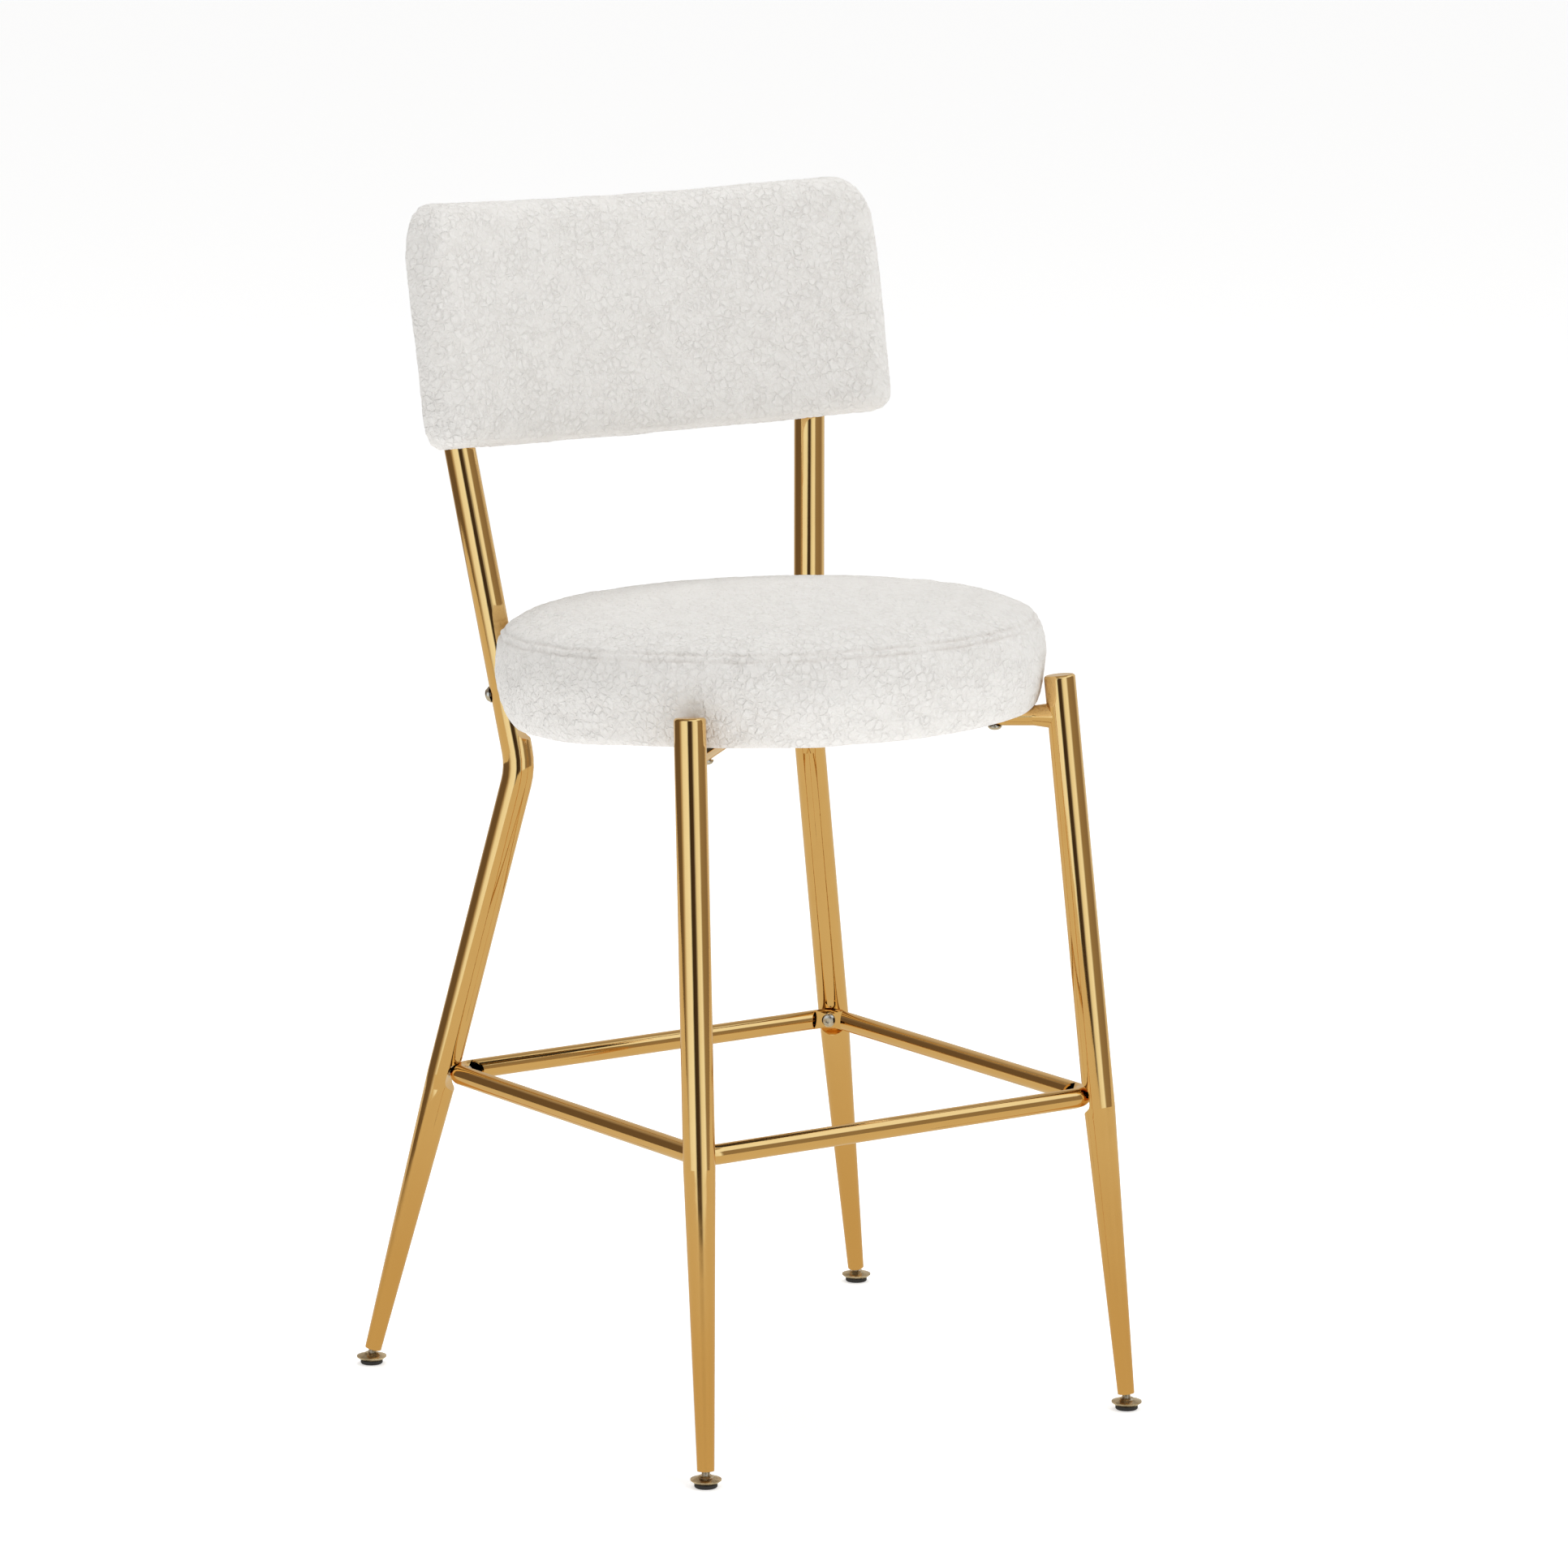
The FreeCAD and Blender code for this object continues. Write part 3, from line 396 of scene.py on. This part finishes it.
def paintPile(sheet):
    spot = sheet.place()
    depth = sheet.node("Attribute", {"attribute_name": "pileDepth"}, out="Fac")
    warp = sheet.node("TexNoise", {}, {"Vector": spot, "Scale": 210.0, "Detail": 3.0, "Roughness": 0.6},
                      out="Color")
    bent = sheet.node("VectorMath", {"operation": "MULTIPLY_ADD"}, {0: warp, 1: (0.0045,) * 3, 2: spot})
    edges = {"feature": "DISTANCE_TO_EDGE"}
    lumps = sheet.node("TexVoronoi", edges, {"Vector": bent, "Scale": pile["lumps"]})
    curls = sheet.node("TexVoronoi", edges, {"Vector": bent, "Scale": pile["curls"]})
    come = sheet.span(sheet.noise(spot, 75.0, 3.0), 0.36, 0.62)
    crease = (1 - sheet.span(lumps, 0.0, 0.20)) * (come * 0.6 + 0.4)
    fine = 1 - sheet.span(curls, 0.0, 0.24)
    strands = sheet.noise(bent, pile["fibres"], 3.0, 0.65)
    patch = sheet.noise(spot, 14.0, 3.0, 0.6)
    # painted shade: darker where the stored pile shade is high (between curled lumps and in seam grooves), and
    # along the edges of the lumps and curls
    colour = sheet.mix(depth, pile["top"], pile["creaseShade"])
    colour = sheet.mix(crease * 0.13, colour, pile["creaseShade"])
    colour = sheet.mix(fine * 0.05, colour, pile["creaseShade"])
    colour = sheet.mix(sheet.span(patch, 0.35, 0.70) * 0.04, colour, (0.82, 0.79, 0.75))
    normal = sheet.bump(strands, 0.30, 0.0005)
    normal = sheet.bump(1 - fine, 0.36, 0.0006, normal)
    normal = sheet.bump(1 - crease, 0.54, 0.0015, normal)
    return {"Base Color": colour, "Roughness": sheet.span(crease + strands, 0.3, 1.4, 0.86, 0.97),
            "Normal": normal}


def paintDustCloth(sheet):
    spot = sheet.place(1000.0)
    dots = sheet.node("TexVoronoi", {}, {"Vector": spot, "Scale": 0.55})
    fibre = sheet.noise(spot, 0.9, 4.0, 0.7, 1.5)
    colour = sheet.mix(sheet.span(fibre, 0.3, 0.7), (0.016, 0.016, 0.017), (0.045, 0.045, 0.047))
    return {"Base Color": colour, "Roughness": sheet.span(dots, 0.1, 0.6, 0.75, 0.95),
            "Normal": sheet.bump(dots, 0.5, 0.0003)}


def paintPlywood(sheet):
    spot = sheet.node("VectorMath", {"operation": "MULTIPLY"}, {0: sheet.place(), 1: (6.0, 60.0, 400.0)})
    grain = sheet.noise(spot, 3.0, 4.0, 0.6, 0.6)
    colour = sheet.ramp(grain, (0.3, (0.36, 0.22, 0.11)), (0.55, (0.60, 0.42, 0.24)),
                        (0.8, (0.70, 0.53, 0.34)))
    return {"Base Color": colour, "Roughness": sheet.span(grain, 0.2, 0.8, 0.5, 0.7),
            "Normal": sheet.bump(grain, 0.2, 0.0004)}


def paintFoam(sheet):
    spot = sheet.place()
    cells = sheet.node("TexVoronoi", {}, {"Vector": spot, "Scale": 900.0})
    colour = sheet.mix(cells, (0.86, 0.80, 0.62), (0.66, 0.58, 0.40))
    return {"Base Color": colour, "Roughness": sheet.span(cells, 0.0, 0.8, 0.8, 0.95),
            "Normal": sheet.bump(cells, 0.6, 0.0008)}


finishes = {
    "gold_steel": finish("goldPlate", {"Metallic": 1.0}, paintGold),
    "zinc_steel": finish("zincPlate", {"Metallic": 1.0}, paintZinc),
    "glide_metal": finish("warmNickel", {"Metallic": 1.0}, paintNickel),
    "black_rubber": finish("footRubber", {"Specular IOR Level": 0.35}, paintRubber),
    "ivory_fabric": finish("ivoryPile", {"Specular IOR Level": 0.12, "Sheen Weight": 0.20,
                                         "Sheen Roughness": 0.6}, paintPile),
    "dust_cloth": finish("dustCloth", {"Specular IOR Level": 0.2}, paintDustCloth),
    "plywood": finish("boardPlywood", {}, paintPlywood),
    "foam": finish("cushionFoam", {"Specular IOR Level": 0.2}, paintFoam),
}
slotOf = {part["node"]: part["material_slot"] for part in frame["record"]["subparts"]}
for name, made in nodes.items():
    for i in range(len(made.data.materials)):
        made.material_slots[i].material = finishes[slotOf[name]]
print("finishes on", len(nodes), "frame pieces")


def newPiece(name, mesh, body, slot):
    made = bpy.data.objects.new(name, mesh)
    scene.collection.objects.link(made)
    mesh.materials.clear()
    mesh.materials.append(finishes[slot])
    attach(made, body)
    return made


def pointsOf(mesh, what="co"):
    flat = np.empty(len(mesh.vertices) * 3)
    mesh.vertices.foreach_get(what, flat)
    return flat.reshape(-1, 3)


def setPoints(mesh, points):
    mesh.vertices.foreach_set("co", np.ascontiguousarray(points).ravel())
    mesh.update()


def bakeDown(piece):
    # swaps the mesh for what its modifiers make of it
    scene.view_layers[0].update()
    seen = piece.evaluated_get(bpy.context.evaluated_depsgraph_get())
    mesh = bpy.data.meshes.new_from_object(seen)
    piece.modifiers.clear()
    piece.data = mesh


def envelope(name, sources, slot, voxel, shrink):
    # one closed skin round several frame pieces, a little smaller than they are
    joined = bmesh.new()
    for source in sources:
        joined.from_mesh(nodes[source].data)
    mesh = bpy.data.meshes.new(name)
    joined.to_mesh(mesh)
    joined.free()
    piece = newPiece(name, mesh, "stool_frame", slot)
    remesh = piece.modifiers.new("skin", "REMESH")
    remesh.mode = "VOXEL"
    remesh.voxel_size = voxel
    bakeDown(piece)
    keepOuterShell(piece.data)
    calm = piece.modifiers.new("calm", "CORRECTIVE_SMOOTH")
    calm.smooth_type = "SIMPLE"
    calm.use_only_smooth = True
    calm.iterations = 2
    bakeDown(piece)
    mesh = piece.data
    setPoints(mesh, pointsOf(mesh) - pointsOf(mesh, "normal") * shrink)
    return piece


def keepOuterShell(mesh):
    # drops the skins of closed pockets inside, keeping the largest island
    work = bmesh.new()
    work.from_mesh(mesh)
    work.verts.ensure_lookup_table()
    seen = set()
    islands = []
    for start in work.verts:
        if start.index in seen:
            continue
        island, stack = [], [start]
        seen.add(start.index)
        while stack:
            vert = stack.pop()
            island.append(vert)
            for edge in vert.link_edges:
                other = edge.other_vert(vert)
                if other.index not in seen:
                    seen.add(other.index)
                    stack.append(other)
        islands.append(island)
    islands.sort(key=len)
    for island in islands[:-1]:
        bmesh.ops.delete(work, geom=island, context="VERTS")
    work.to_mesh(mesh)
    work.free()


swell = {"pressure": 6.0, "frames": 16, "stiff": 15.0, "bend": 1.0}


def inflate(piece, held, cap):
    # foam pushing a sewn cover outward: cloth under pressure, moving at most cap
    mesh = piece.data
    before = pointsOf(mesh)
    group = piece.vertex_groups.new(name="held")
    group.add([int(i) for i in np.nonzero(held)[0]], 1.0, "REPLACE")
    cloth = piece.modifiers.new("swell", "CLOTH")
    cloth.settings.use_pressure = True
    cloth.settings.uniform_pressure_force = swell["pressure"]
    cloth.settings.effector_weights.gravity = 0
    cloth.settings.vertex_group_mass = "held"
    cloth.settings.tension_stiffness = swell["stiff"]
    cloth.settings.compression_stiffness = swell["stiff"]
    cloth.settings.shear_stiffness = swell["stiff"]
    cloth.settings.bending_stiffness = swell["bend"]
    cloth.point_cache.frame_start = 1
    cloth.point_cache.frame_end = swell["frames"]
    for step in range(1, swell["frames"] + 1):
        scene.frame_set(step)
    seen = piece.evaluated_get(bpy.context.evaluated_depsgraph_get())
    after = pointsOf(seen.data)
    piece.modifiers.clear()
    piece.vertex_groups.clear()
    scene.frame_set(1)
    move = after - before
    size = np.linalg.norm(move, axis=1, keepdims=True)
    move *= np.minimum(1.0, cap / np.maximum(size, 1e-9))
    setPoints(mesh, before + move)
    most = float(np.linalg.norm(move, axis=1).max()) * 1000
    print(piece.name, "swelled by up to", round(most, 1), "mm")


def subdivide(piece, levels):
    finer = piece.modifiers.new("finer", "SUBSURF")
    finer.levels = levels
    finer.render_levels = levels
    bakeDown(piece)


def hashed(cell, seed):
    # repeatable numbers from 0 to 1 for whole-number cells
    with np.errstate(over="ignore"):
        mixed = (cell[..., 0].astype(np.uint32) * np.uint32(73856093)
                 ^ cell[..., 1].astype(np.uint32) * np.uint32(19349663)
                 ^ cell[..., 2].astype(np.uint32) * np.uint32(83492791)
                 ^ np.uint32(seed * 2654435761 % 4294967296))
        for _ in range(2):
            mixed ^= mixed >> np.uint32(13)
            mixed *= np.uint32(1274126177)
        mixed ^= mixed >> np.uint32(16)
    return mixed / 4294967295.0


def rolling(points, size, seed):
    # smooth noise from -1 to 1, size metres from bump to bump
    spot = points / size
    base = np.floor(spot).astype(np.int64)
    part = spot - base
    part = part * part * (3 - 2 * part)
    total = np.zeros(len(points))
    for corner in range(8):
        step = np.array([corner & 1, corner >> 1 & 1, corner >> 2 & 1])
        share = np.prod(np.where(step == 1, part, 1 - part), axis=1)
        total += share * hashed(base + step, seed)
    return total * 2 - 1


def curlCells(points, size, seed):
    # distances to the nearest and second nearest of scattered curls, in sizes
    spot = points / size
    base = np.floor(spot).astype(np.int64)
    near = np.full(len(points), 9.0)
    second = np.full(len(points), 9.0)
    for corner in range(27):
        cell = base + np.array([corner % 3 - 1, corner // 3 % 3 - 1, corner // 9 - 1])
        heart = cell + np.stack([hashed(cell, seed + k) for k in range(3)], axis=1)
        away = np.linalg.norm(spot - heart, axis=1)
        second = np.minimum(second, np.maximum(near, away))
        near = np.minimum(near, away)
    return near, second


curly = {
    "curl": 8.0 * mm,             # from lump to lump
    "lump": 0.76 * mm,
    "tuft": 3.6 * mm,
    "tuftHeight": 0.26 * mm,
    "steep": 1.9,                 # how fast a lump falls away at its edge
    "level": 0.7,                 # share of a lump's height that sits above the cloth
    "drift": 1.0 * mm,            # slow unevenness of the pile
    "driftSize": 24 * mm,
    "patch": 30 * mm,             # from deeper to flatter pile
    "wander": 1.6 * mm,
    "wanderSize": 5 * mm,
}


def growPile(piece, seam, calmAt=None):
    # raises curled lumps all over, and stores painted shade at each point: more between the lumps and along
    # the seam groove
    mesh = piece.data
    points = pointsOf(mesh)
    normals = pointsOf(mesh, "normal")
    wander = np.stack([rolling(points, curly["wanderSize"], seed) for seed in (3, 4, 5)], axis=1)
    bent = points + wander * curly["wander"]
    near, second = curlCells(bent, curly["curl"], 11)
    lump = np.sqrt(np.clip((second - near) * curly["steep"], 0, 1))
    tuftNear, tuftSecond = curlCells(bent + wander * 0.6 * mm, curly["tuft"], 23)
    tuft = np.clip((tuftSecond - tuftNear) * 2.0, 0, 1)
    strength = 0.75 + 0.25 * rolling(points, curly["patch"], 9)
    if calmAt is not None:
        strength *= 1 - calmAt
    rise = (lump - curly["level"]) * curly["lump"] * strength
    rise += (tuft - 0.5) * curly["tuftHeight"] * strength
    rise += rolling(points, curly["driftSize"], 31) * curly["drift"] * 0.5
    setPoints(mesh, points + normals * rise[:, None])
    depth = mesh.attributes.new("pileDepth", "FLOAT", "POINT")
    # painted shade: deeper in the hollows between lumps and tufts, and in the seam groove
    creaseShade = np.clip(1 - lump * 0.75 - tuft * 0.25, 0, 1) * strength * 0.16
    depth.data.foreach_set("value", np.clip(creaseShade + seam * 0.30, 0, 1))
    for face in mesh.polygons:
        face.use_smooth = True


def clearOfTube(points, start, end, radius):
    # pushes points that would lie inside a round tube out to its surface
    start, end = np.array(start), np.array(end)
    axis = (end - start) / np.linalg.norm(end - start)
    along = (points - start) @ axis
    foot = start + along[:, None] * axis
    reach = points - foot
    away = np.linalg.norm(reach, axis=1)
    inside = (away < radius) & (along > -radius) & (along < np.linalg.norm(end - start) + radius)
    points = points.copy()
    points[inside] = foot[inside] + reach[inside] / away[inside, None] * radius
    return points


def tubeOf(node):
    # the two ends of a straight piece's axis, and its outer radius
    points = pointsOf(nodes[node].data)
    middle = points.mean(axis=0)
    axis = np.linalg.svd(points - middle, full_matrices=False)[2][0]
    axis *= np.sign(axis[2]) or 1
    along = (points - middle) @ axis
    radius = np.linalg.norm(points - middle - along[:, None] * axis, axis=1).max()
    return middle + axis * along.min(), middle + axis * along.max(), radius


tubes = {                         # centrelines of the legs where they meet the cushions
    "radius": 12.7 * mm,
    "crossRadius": 8.3 * mm,
    "frontLeg": ((0.1884, -0.2010, 0.250), (0.1727, -0.1645, 0.5875)),
    "upright": ((0.1389, 0.1438, 0.4987), (0.1848, 0.2127, 0.9097)),
}


def clearOfLegs(points):
    for start, end in (tubes["frontLeg"], tubes["upright"]):
        for side in (-1, 1):
            flip = np.array([side, 1, 1])
            points = clearOfTube(points, np.array(start) * flip, np.array(end) * flip, tubes["radius"])
    return points


seat = {
    "pitch": 3.0,
    "cloth": 0.6 * mm,            # half the dust cloth's thickness
    "seamRadius": 213.5 * mm,
    "seamHeight": 68.5 * mm,
    "groove": 1.7 * mm,
    "grooveWidth": 1.6 * mm,
    "welt": 3.0 * mm,             # from the middle of the seam to each groove
    "pucker": 0.8 * mm,
    "puckerSize": 9 * mm,
    "wiggle": 0.9 * mm,           # of the seam, up and down
    "wiggleSize": 14 * mm,
    "grooveSize": 15 * mm,        # from deeper to shallower groove
    "fullRadius": 220.6 * mm,     # after the foam has filled the cover
    "crown": 94.5 * mm,
    "overhang": 9.0 * mm,         # how far the edge rolls below the board
    "slack": 0.25,                # unevenness of that roll
    "voxel": 4.5 * mm,
    "shrink": 0.9 * mm,
    "swell": 2.5 * mm,
    "heldBelow": 9 * mm,          # the cover is fixed from here down
    "flatBelow": 4 * mm,          # and its pile lies flat from here down
    "lowest": 0.4 * mm,           # nothing hangs lower than this over the dust cover
    "seamReach": 14 * mm,
    # a change starts at the first radius or height and is full at the second
    "sideBand": (35 * mm, 50 * mm),
    "pushRadius": (150 * mm, 205 * mm),
    "pushFade": (74 * mm, 100 * mm),
    "crownFrom": 30 * mm,
    "rollRadius": (187 * mm, 200 * mm),
    "rollFade": (2 * mm, 34 * mm),
}


def seatPlace():
    low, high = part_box("seat_dust_cover")
    tilt = Matrix.Rotation(math.radians(-seat["pitch"]), 4, "X")
    middle = (Vector(low) + Vector(high)) / 2
    return Matrix.Translation(middle - tilt.to_3x3() @ Vector((0, 0, seat["cloth"]))) @ tilt


def intoPlace(points, place):
    inverse = np.array(place.inverted())
    return points @ inverse[:3, :3].T + inverse[:3, 3]


def outOfPlace(points, place):
    turned = np.array(place)
    return points @ turned[:3, :3].T + turned[:3, 3]


def softStep(value, low, high):
    share = np.clip((value - low) / (high - low), 0, 1)
    return share * share * (3 - 2 * share)


def fillSeat(points, place):
    # the stuffed shape: a fuller side, a flatter crown, and an edge rolled under the board
    local = intoPlace(points, place)
    radius = np.hypot(local[:, 0], local[:, 1])
    z = local[:, 2]
    low, high = seat["sideBand"]
    widest = radius[(z > low) & (z < high)].max()
    push = (seat["fullRadius"] - widest) * softStep(radius, *seat["pushRadius"])
    push *= 1 - softStep(z, *seat["pushFade"])
    over = seat["crownFrom"]
    z = np.where(z > over, over + (z - over) * (seat["crown"] - over) / (z.max() - over), z)
    turn = np.arctan2(local[:, 1], local[:, 0])
    bearing = np.stack([np.cos(turn), np.sin(turn), turn * 0], axis=1)
    slack = 1 + seat["slack"] * rolling(bearing, 0.4, 71)
    rolled = softStep(radius, *seat["rollRadius"]) * (1 - softStep(z, *seat["rollFade"]))
    z = z - seat["overhang"] * slack * rolled
    grown = local * (1 + push / np.maximum(radius, 1e-6))[:, None]
    grown[:, 2] = z
    return outOfPlace(grown, place)


def makeSeat():
    place = seatPlace()
    covers = ["seat_side_cover", "seat_top_cover", "seat_foam"]
    piece = envelope("seat_cushion", covers + ["seat_board", "seat_dust_cover"], "ivory_fabric",
                     seat["voxel"], seat["shrink"])
    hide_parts(*covers)
    local = intoPlace(pointsOf(piece.data), place)
    inflate(piece, local[:, 2] < seat["heldBelow"], seat["swell"])
    setPoints(piece.data, fillSeat(pointsOf(piece.data), place))
    subdivide(piece, 2)
    mesh = piece.data
    points = pointsOf(mesh)
    normals = pointsOf(mesh, "normal")
    local = intoPlace(points, place)
    radius = np.hypot(local[:, 0], local[:, 1])
    turn = np.arctan2(local[:, 1], local[:, 0])
    wiggle = np.stack([np.cos(turn), np.sin(turn), np.zeros(len(turn))], axis=1) * 0.2
    up = local[:, 2] - seat["seamHeight"] + rolling(wiggle, seat["wiggleSize"], 47) * seat["wiggle"]
    across = (seat["seamRadius"] - radius) * 0.6 + up * 0.8
    near = np.exp(-((radius - seat["seamRadius"]) ** 2 + up ** 2) / seat["seamReach"] ** 2)
    groove = sum(np.exp(-((across - side * seat["welt"]) / seat["grooveWidth"]) ** 2)
                 for side in (-1, 1))
    groove *= np.minimum(1, near * 3)
    ring = np.stack([np.cos(turn), np.sin(turn), np.zeros(len(turn))], axis=1) * seat["seamRadius"]
    gather = rolling(ring, seat["puckerSize"], 41) * seat["pucker"]
    wanders = 0.60 + 0.40 * rolling(ring, seat["grooveSize"], 43)
    rise = -groove * seat["groove"] * wanders + gather * near
    underside = np.clip((seat["flatBelow"] - local[:, 2]) / seat["flatBelow"], 0, 1)
    setPoints(mesh, points + normals * rise[:, None])
    growPile(piece, groove * wanders, underside * 0.8)
    points = clearOfLegs(pointsOf(mesh))
    for node in ("cross_tube_long", "cross_tube_short_front", "cross_tube_short_rear"):
        start, end, _ = tubeOf(node)
        points = clearOfTube(points, start, end, tubes["crossRadius"])
    local = intoPlace(points, place)
    overBoard = np.hypot(local[:, 0], local[:, 1]) < seat["rollRadius"][0]
    sunk = np.maximum(0, seat["lowest"] - local[:, 2]) * overBoard
    lift = np.array(place.to_3x3() @ Vector((0, 0, 1)))
    setPoints(mesh, points + sunk[:, None] * lift)
    print("seat cushion has", len(mesh.vertices), "points")


makeSeat()


dustCover = {
    "radius": 186 * mm,
    "cloth": 0.45 * mm,
    "height": 0.45 * mm,          # of its middle, above the lowest point of the board's edge
    "hem": 9 * mm,                # turned under all round
    "hemDrop": 0.22 * mm,
    "ripple": 0.35 * mm,
    "rippleSize": 34 * mm,
    "pullSize": 11 * mm,
    "rings": 62,
    "spokes": 220,
}


def makeDustCover():
    # a round of black cloth pulled flat under the seat board, its edge turned under
    place = seatPlace()
    rings, spokes, size = dustCover["rings"], dustCover["spokes"], dustCover["radius"]
    reach, turn = np.meshgrid(np.arange(1, rings + 1) / rings * size,
                              np.arange(spokes) / spokes * 2 * math.pi, indexing="ij")
    x, y = (reach * np.cos(turn)).ravel(), (reach * np.sin(turn)).ravel()
    flat = np.stack([x, y, np.zeros(len(x))], axis=1)
    rim = (reach.ravel() / size) ** 5
    bearing = np.stack([np.cos(turn).ravel(), np.sin(turn).ravel(), reach.ravel() * 2], axis=1)
    pull = rolling(bearing * 0.186, dustCover["pullSize"], 61)
    ripples = rolling(flat, dustCover["rippleSize"], 63) * 0.35 + pull * rim * 0.6
    z = dustCover["height"] + ripples * dustCover["ripple"]
    z -= dustCover["hemDrop"] * (reach.ravel() > size - dustCover["hem"])
    points = [(0.0, 0.0, dustCover["height"])] + list(zip(x, y, z))
    faces = [(0, 1 + k, 1 + (k + 1) % spokes) for k in range(spokes)]
    for ring in range(rings - 1):
        first = 1 + ring * spokes
        for k in range(spokes):
            after = (k + 1) % spokes
            faces.append((first + k, first + spokes + k, first + spokes + after, first + after))
    mesh = bpy.data.meshes.new("dust_cover")
    mesh.from_pydata(points, [], faces)
    mesh.transform(place)
    piece = newPiece("dust_cover", mesh, "stool_frame", "dust_cloth")
    thick = piece.modifiers.new("thickness", "SOLIDIFY")
    thick.thickness = dustCover["cloth"]
    thick.offset = 0
    bakeDown(piece)
    for face in piece.data.polygons:
        face.use_smooth = True
    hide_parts("seat_dust_cover")


makeDustCover()


back = {
    "middle": (0, 0.202863, 0.851),
    "lean": 11.756,
    "setback": 0.503268,          # from the uprights to the axis that the pad curves round
    "frontRadius": 0.479,
    "depth": 0.042,
    "midRadius": 0.500,
    "halfWidth": 0.221,           # along the curve
    "halfHeight": 0.0945,
    "topCorner": 0.042,
    "lowCorner": 0.015,
    "seamInset": 0.008,
    "groove": 2.0 * mm,
    "grooveWidth": 1.8 * mm,
    "voxel": 4.5 * mm,
    "shrink": 0.9 * mm,
    "swell": 2.5 * mm,
    "heldDepth": 9 * mm,          # the cover is fixed this far in from the rear
    "seamDepth": (8 * mm, 4 * mm),
    "fullWidth": 222.5 * mm,      # half sizes after the foam has filled the cover
    "fullTop": 97.0 * mm,
    "fullBottom": 100.0 * mm,
}


def fillBack(points, place):
    # stretches the pad along its curve and in height to its stuffed size
    local = intoPlace(points, place)
    reach = np.hypot(local[:, 0], local[:, 1] + back["setback"])
    turn = np.arctan2(local[:, 0], local[:, 1] + back["setback"])
    turn *= back["fullWidth"] / (np.abs(turn).max() * back["midRadius"])
    z = local[:, 2]
    z = np.where(z > 0, z * back["fullTop"] / z.max(), z * back["fullBottom"] / -z.min())
    filled = np.stack([np.sin(turn) * reach, np.cos(turn) * reach - back["setback"], z], axis=1)
    return outOfPlace(filled, place)


def makeBack():
    place = Matrix.Translation(back["middle"]) @ Matrix.Rotation(math.radians(-back["lean"]), 4, "X")
    covers = ["backrest_front_cover", "backrest_rear_cover", "backrest_foam"]
    piece = envelope("backrest_pad", covers + ["backrest_board"], "ivory_fabric", back["voxel"],
                     back["shrink"])
    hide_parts(*covers)

    def depthOf(points):
        local = intoPlace(points, place)
        return local, np.hypot(local[:, 0], local[:, 1] + back["setback"]) - back["frontRadius"]

    local, depth = depthOf(pointsOf(piece.data))
    inflate(piece, depth > back["depth"] - back["heldDepth"], back["swell"])
    setPoints(piece.data, fillBack(pointsOf(piece.data), place))
    subdivide(piece, 2)
    mesh = piece.data
    points = pointsOf(mesh)
    normals = pointsOf(mesh, "normal")
    local, depth = depthOf(points)
    arc = np.arctan2(local[:, 0], local[:, 1] + back["setback"]) * back["midRadius"]
    edge = outlineDistance(arc, local[:, 2])
    start, run = back["seamDepth"]
    onRear = np.clip((depth - back["depth"] + start) / run, 0, 1)
    groove = np.exp(-((edge + back["seamInset"]) / back["grooveWidth"]) ** 2) * onRear
    setPoints(mesh, points - normals * (groove * back["groove"])[:, None])
    growPile(piece, groove)
    setPoints(mesh, clearOfLegs(pointsOf(mesh)))
    print("backrest pad has", len(mesh.vertices), "points")


def outlineDistance(x, z):
    # how far inside (negative) or outside the pad's rounded outline a point lies
    corner = np.where(z > 0, back["topCorner"], back["lowCorner"])
    qx = np.abs(x) - back["halfWidth"] + corner
    qz = np.abs(z) - back["halfHeight"] + corner
    outside = np.hypot(np.maximum(qx, 0), np.maximum(qz, 0))
    return outside + np.minimum(np.maximum(qx, qz), 0) - corner


makeBack()


thread = {
    "pitch": 1.0 * mm,
    "depth": 0.55 * mm,
    "steps": 6,                   # rows of points to a turn
    "sides": 30,
}


def makeThread(node, body):
    # a screw thread in place of a plain stud, on the same axis and as long
    start, end, radius = tubeOf(node)
    length = np.linalg.norm(end - start)
    axis = (end - start) / length
    aside = np.cross(axis, (1.0, 0, 0))
    aside /= np.linalg.norm(aside)
    other = np.cross(axis, aside)
    sides = thread["sides"]
    rows = np.linspace(0, length, int(length / thread["pitch"] * thread["steps"]))
    made, faces = [], []
    for row, spot in enumerate(rows):
        ends = min(1.0, min(spot, length - spot) / thread["pitch"])
        for k in range(sides):
            turn = 2 * math.pi * k / sides
            wave = abs((spot / thread["pitch"] - k / sides) % 1 * 2 - 1)
            size = radius - thread["depth"] * (1 - wave * ends)
            spoke = (aside * math.cos(turn) + other * math.sin(turn)) * size
            made.append(start + axis * spot + spoke)
            if row:
                here, after = (row - 1) * sides + k, (row - 1) * sides + (k + 1) % sides
                faces.append((here, after, after + sides, here + sides))
    faces.append(tuple(range(sides))[::-1])
    faces.append(tuple(range(len(made) - sides, len(made))))
    mesh = bpy.data.meshes.new(node + "_thread")
    mesh.from_pydata([tuple(float(c) for c in point) for point in made], [], faces)
    piece = newPiece(node + "_thread", mesh, body, "zinc_steel")
    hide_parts(node)


for end in ("front", "rear"):
    for side in ("left", "right"):
        makeThread(f"{end}_glide_stud_{side}", f"{end}_{side}_glide_screw")
print("threads cut")
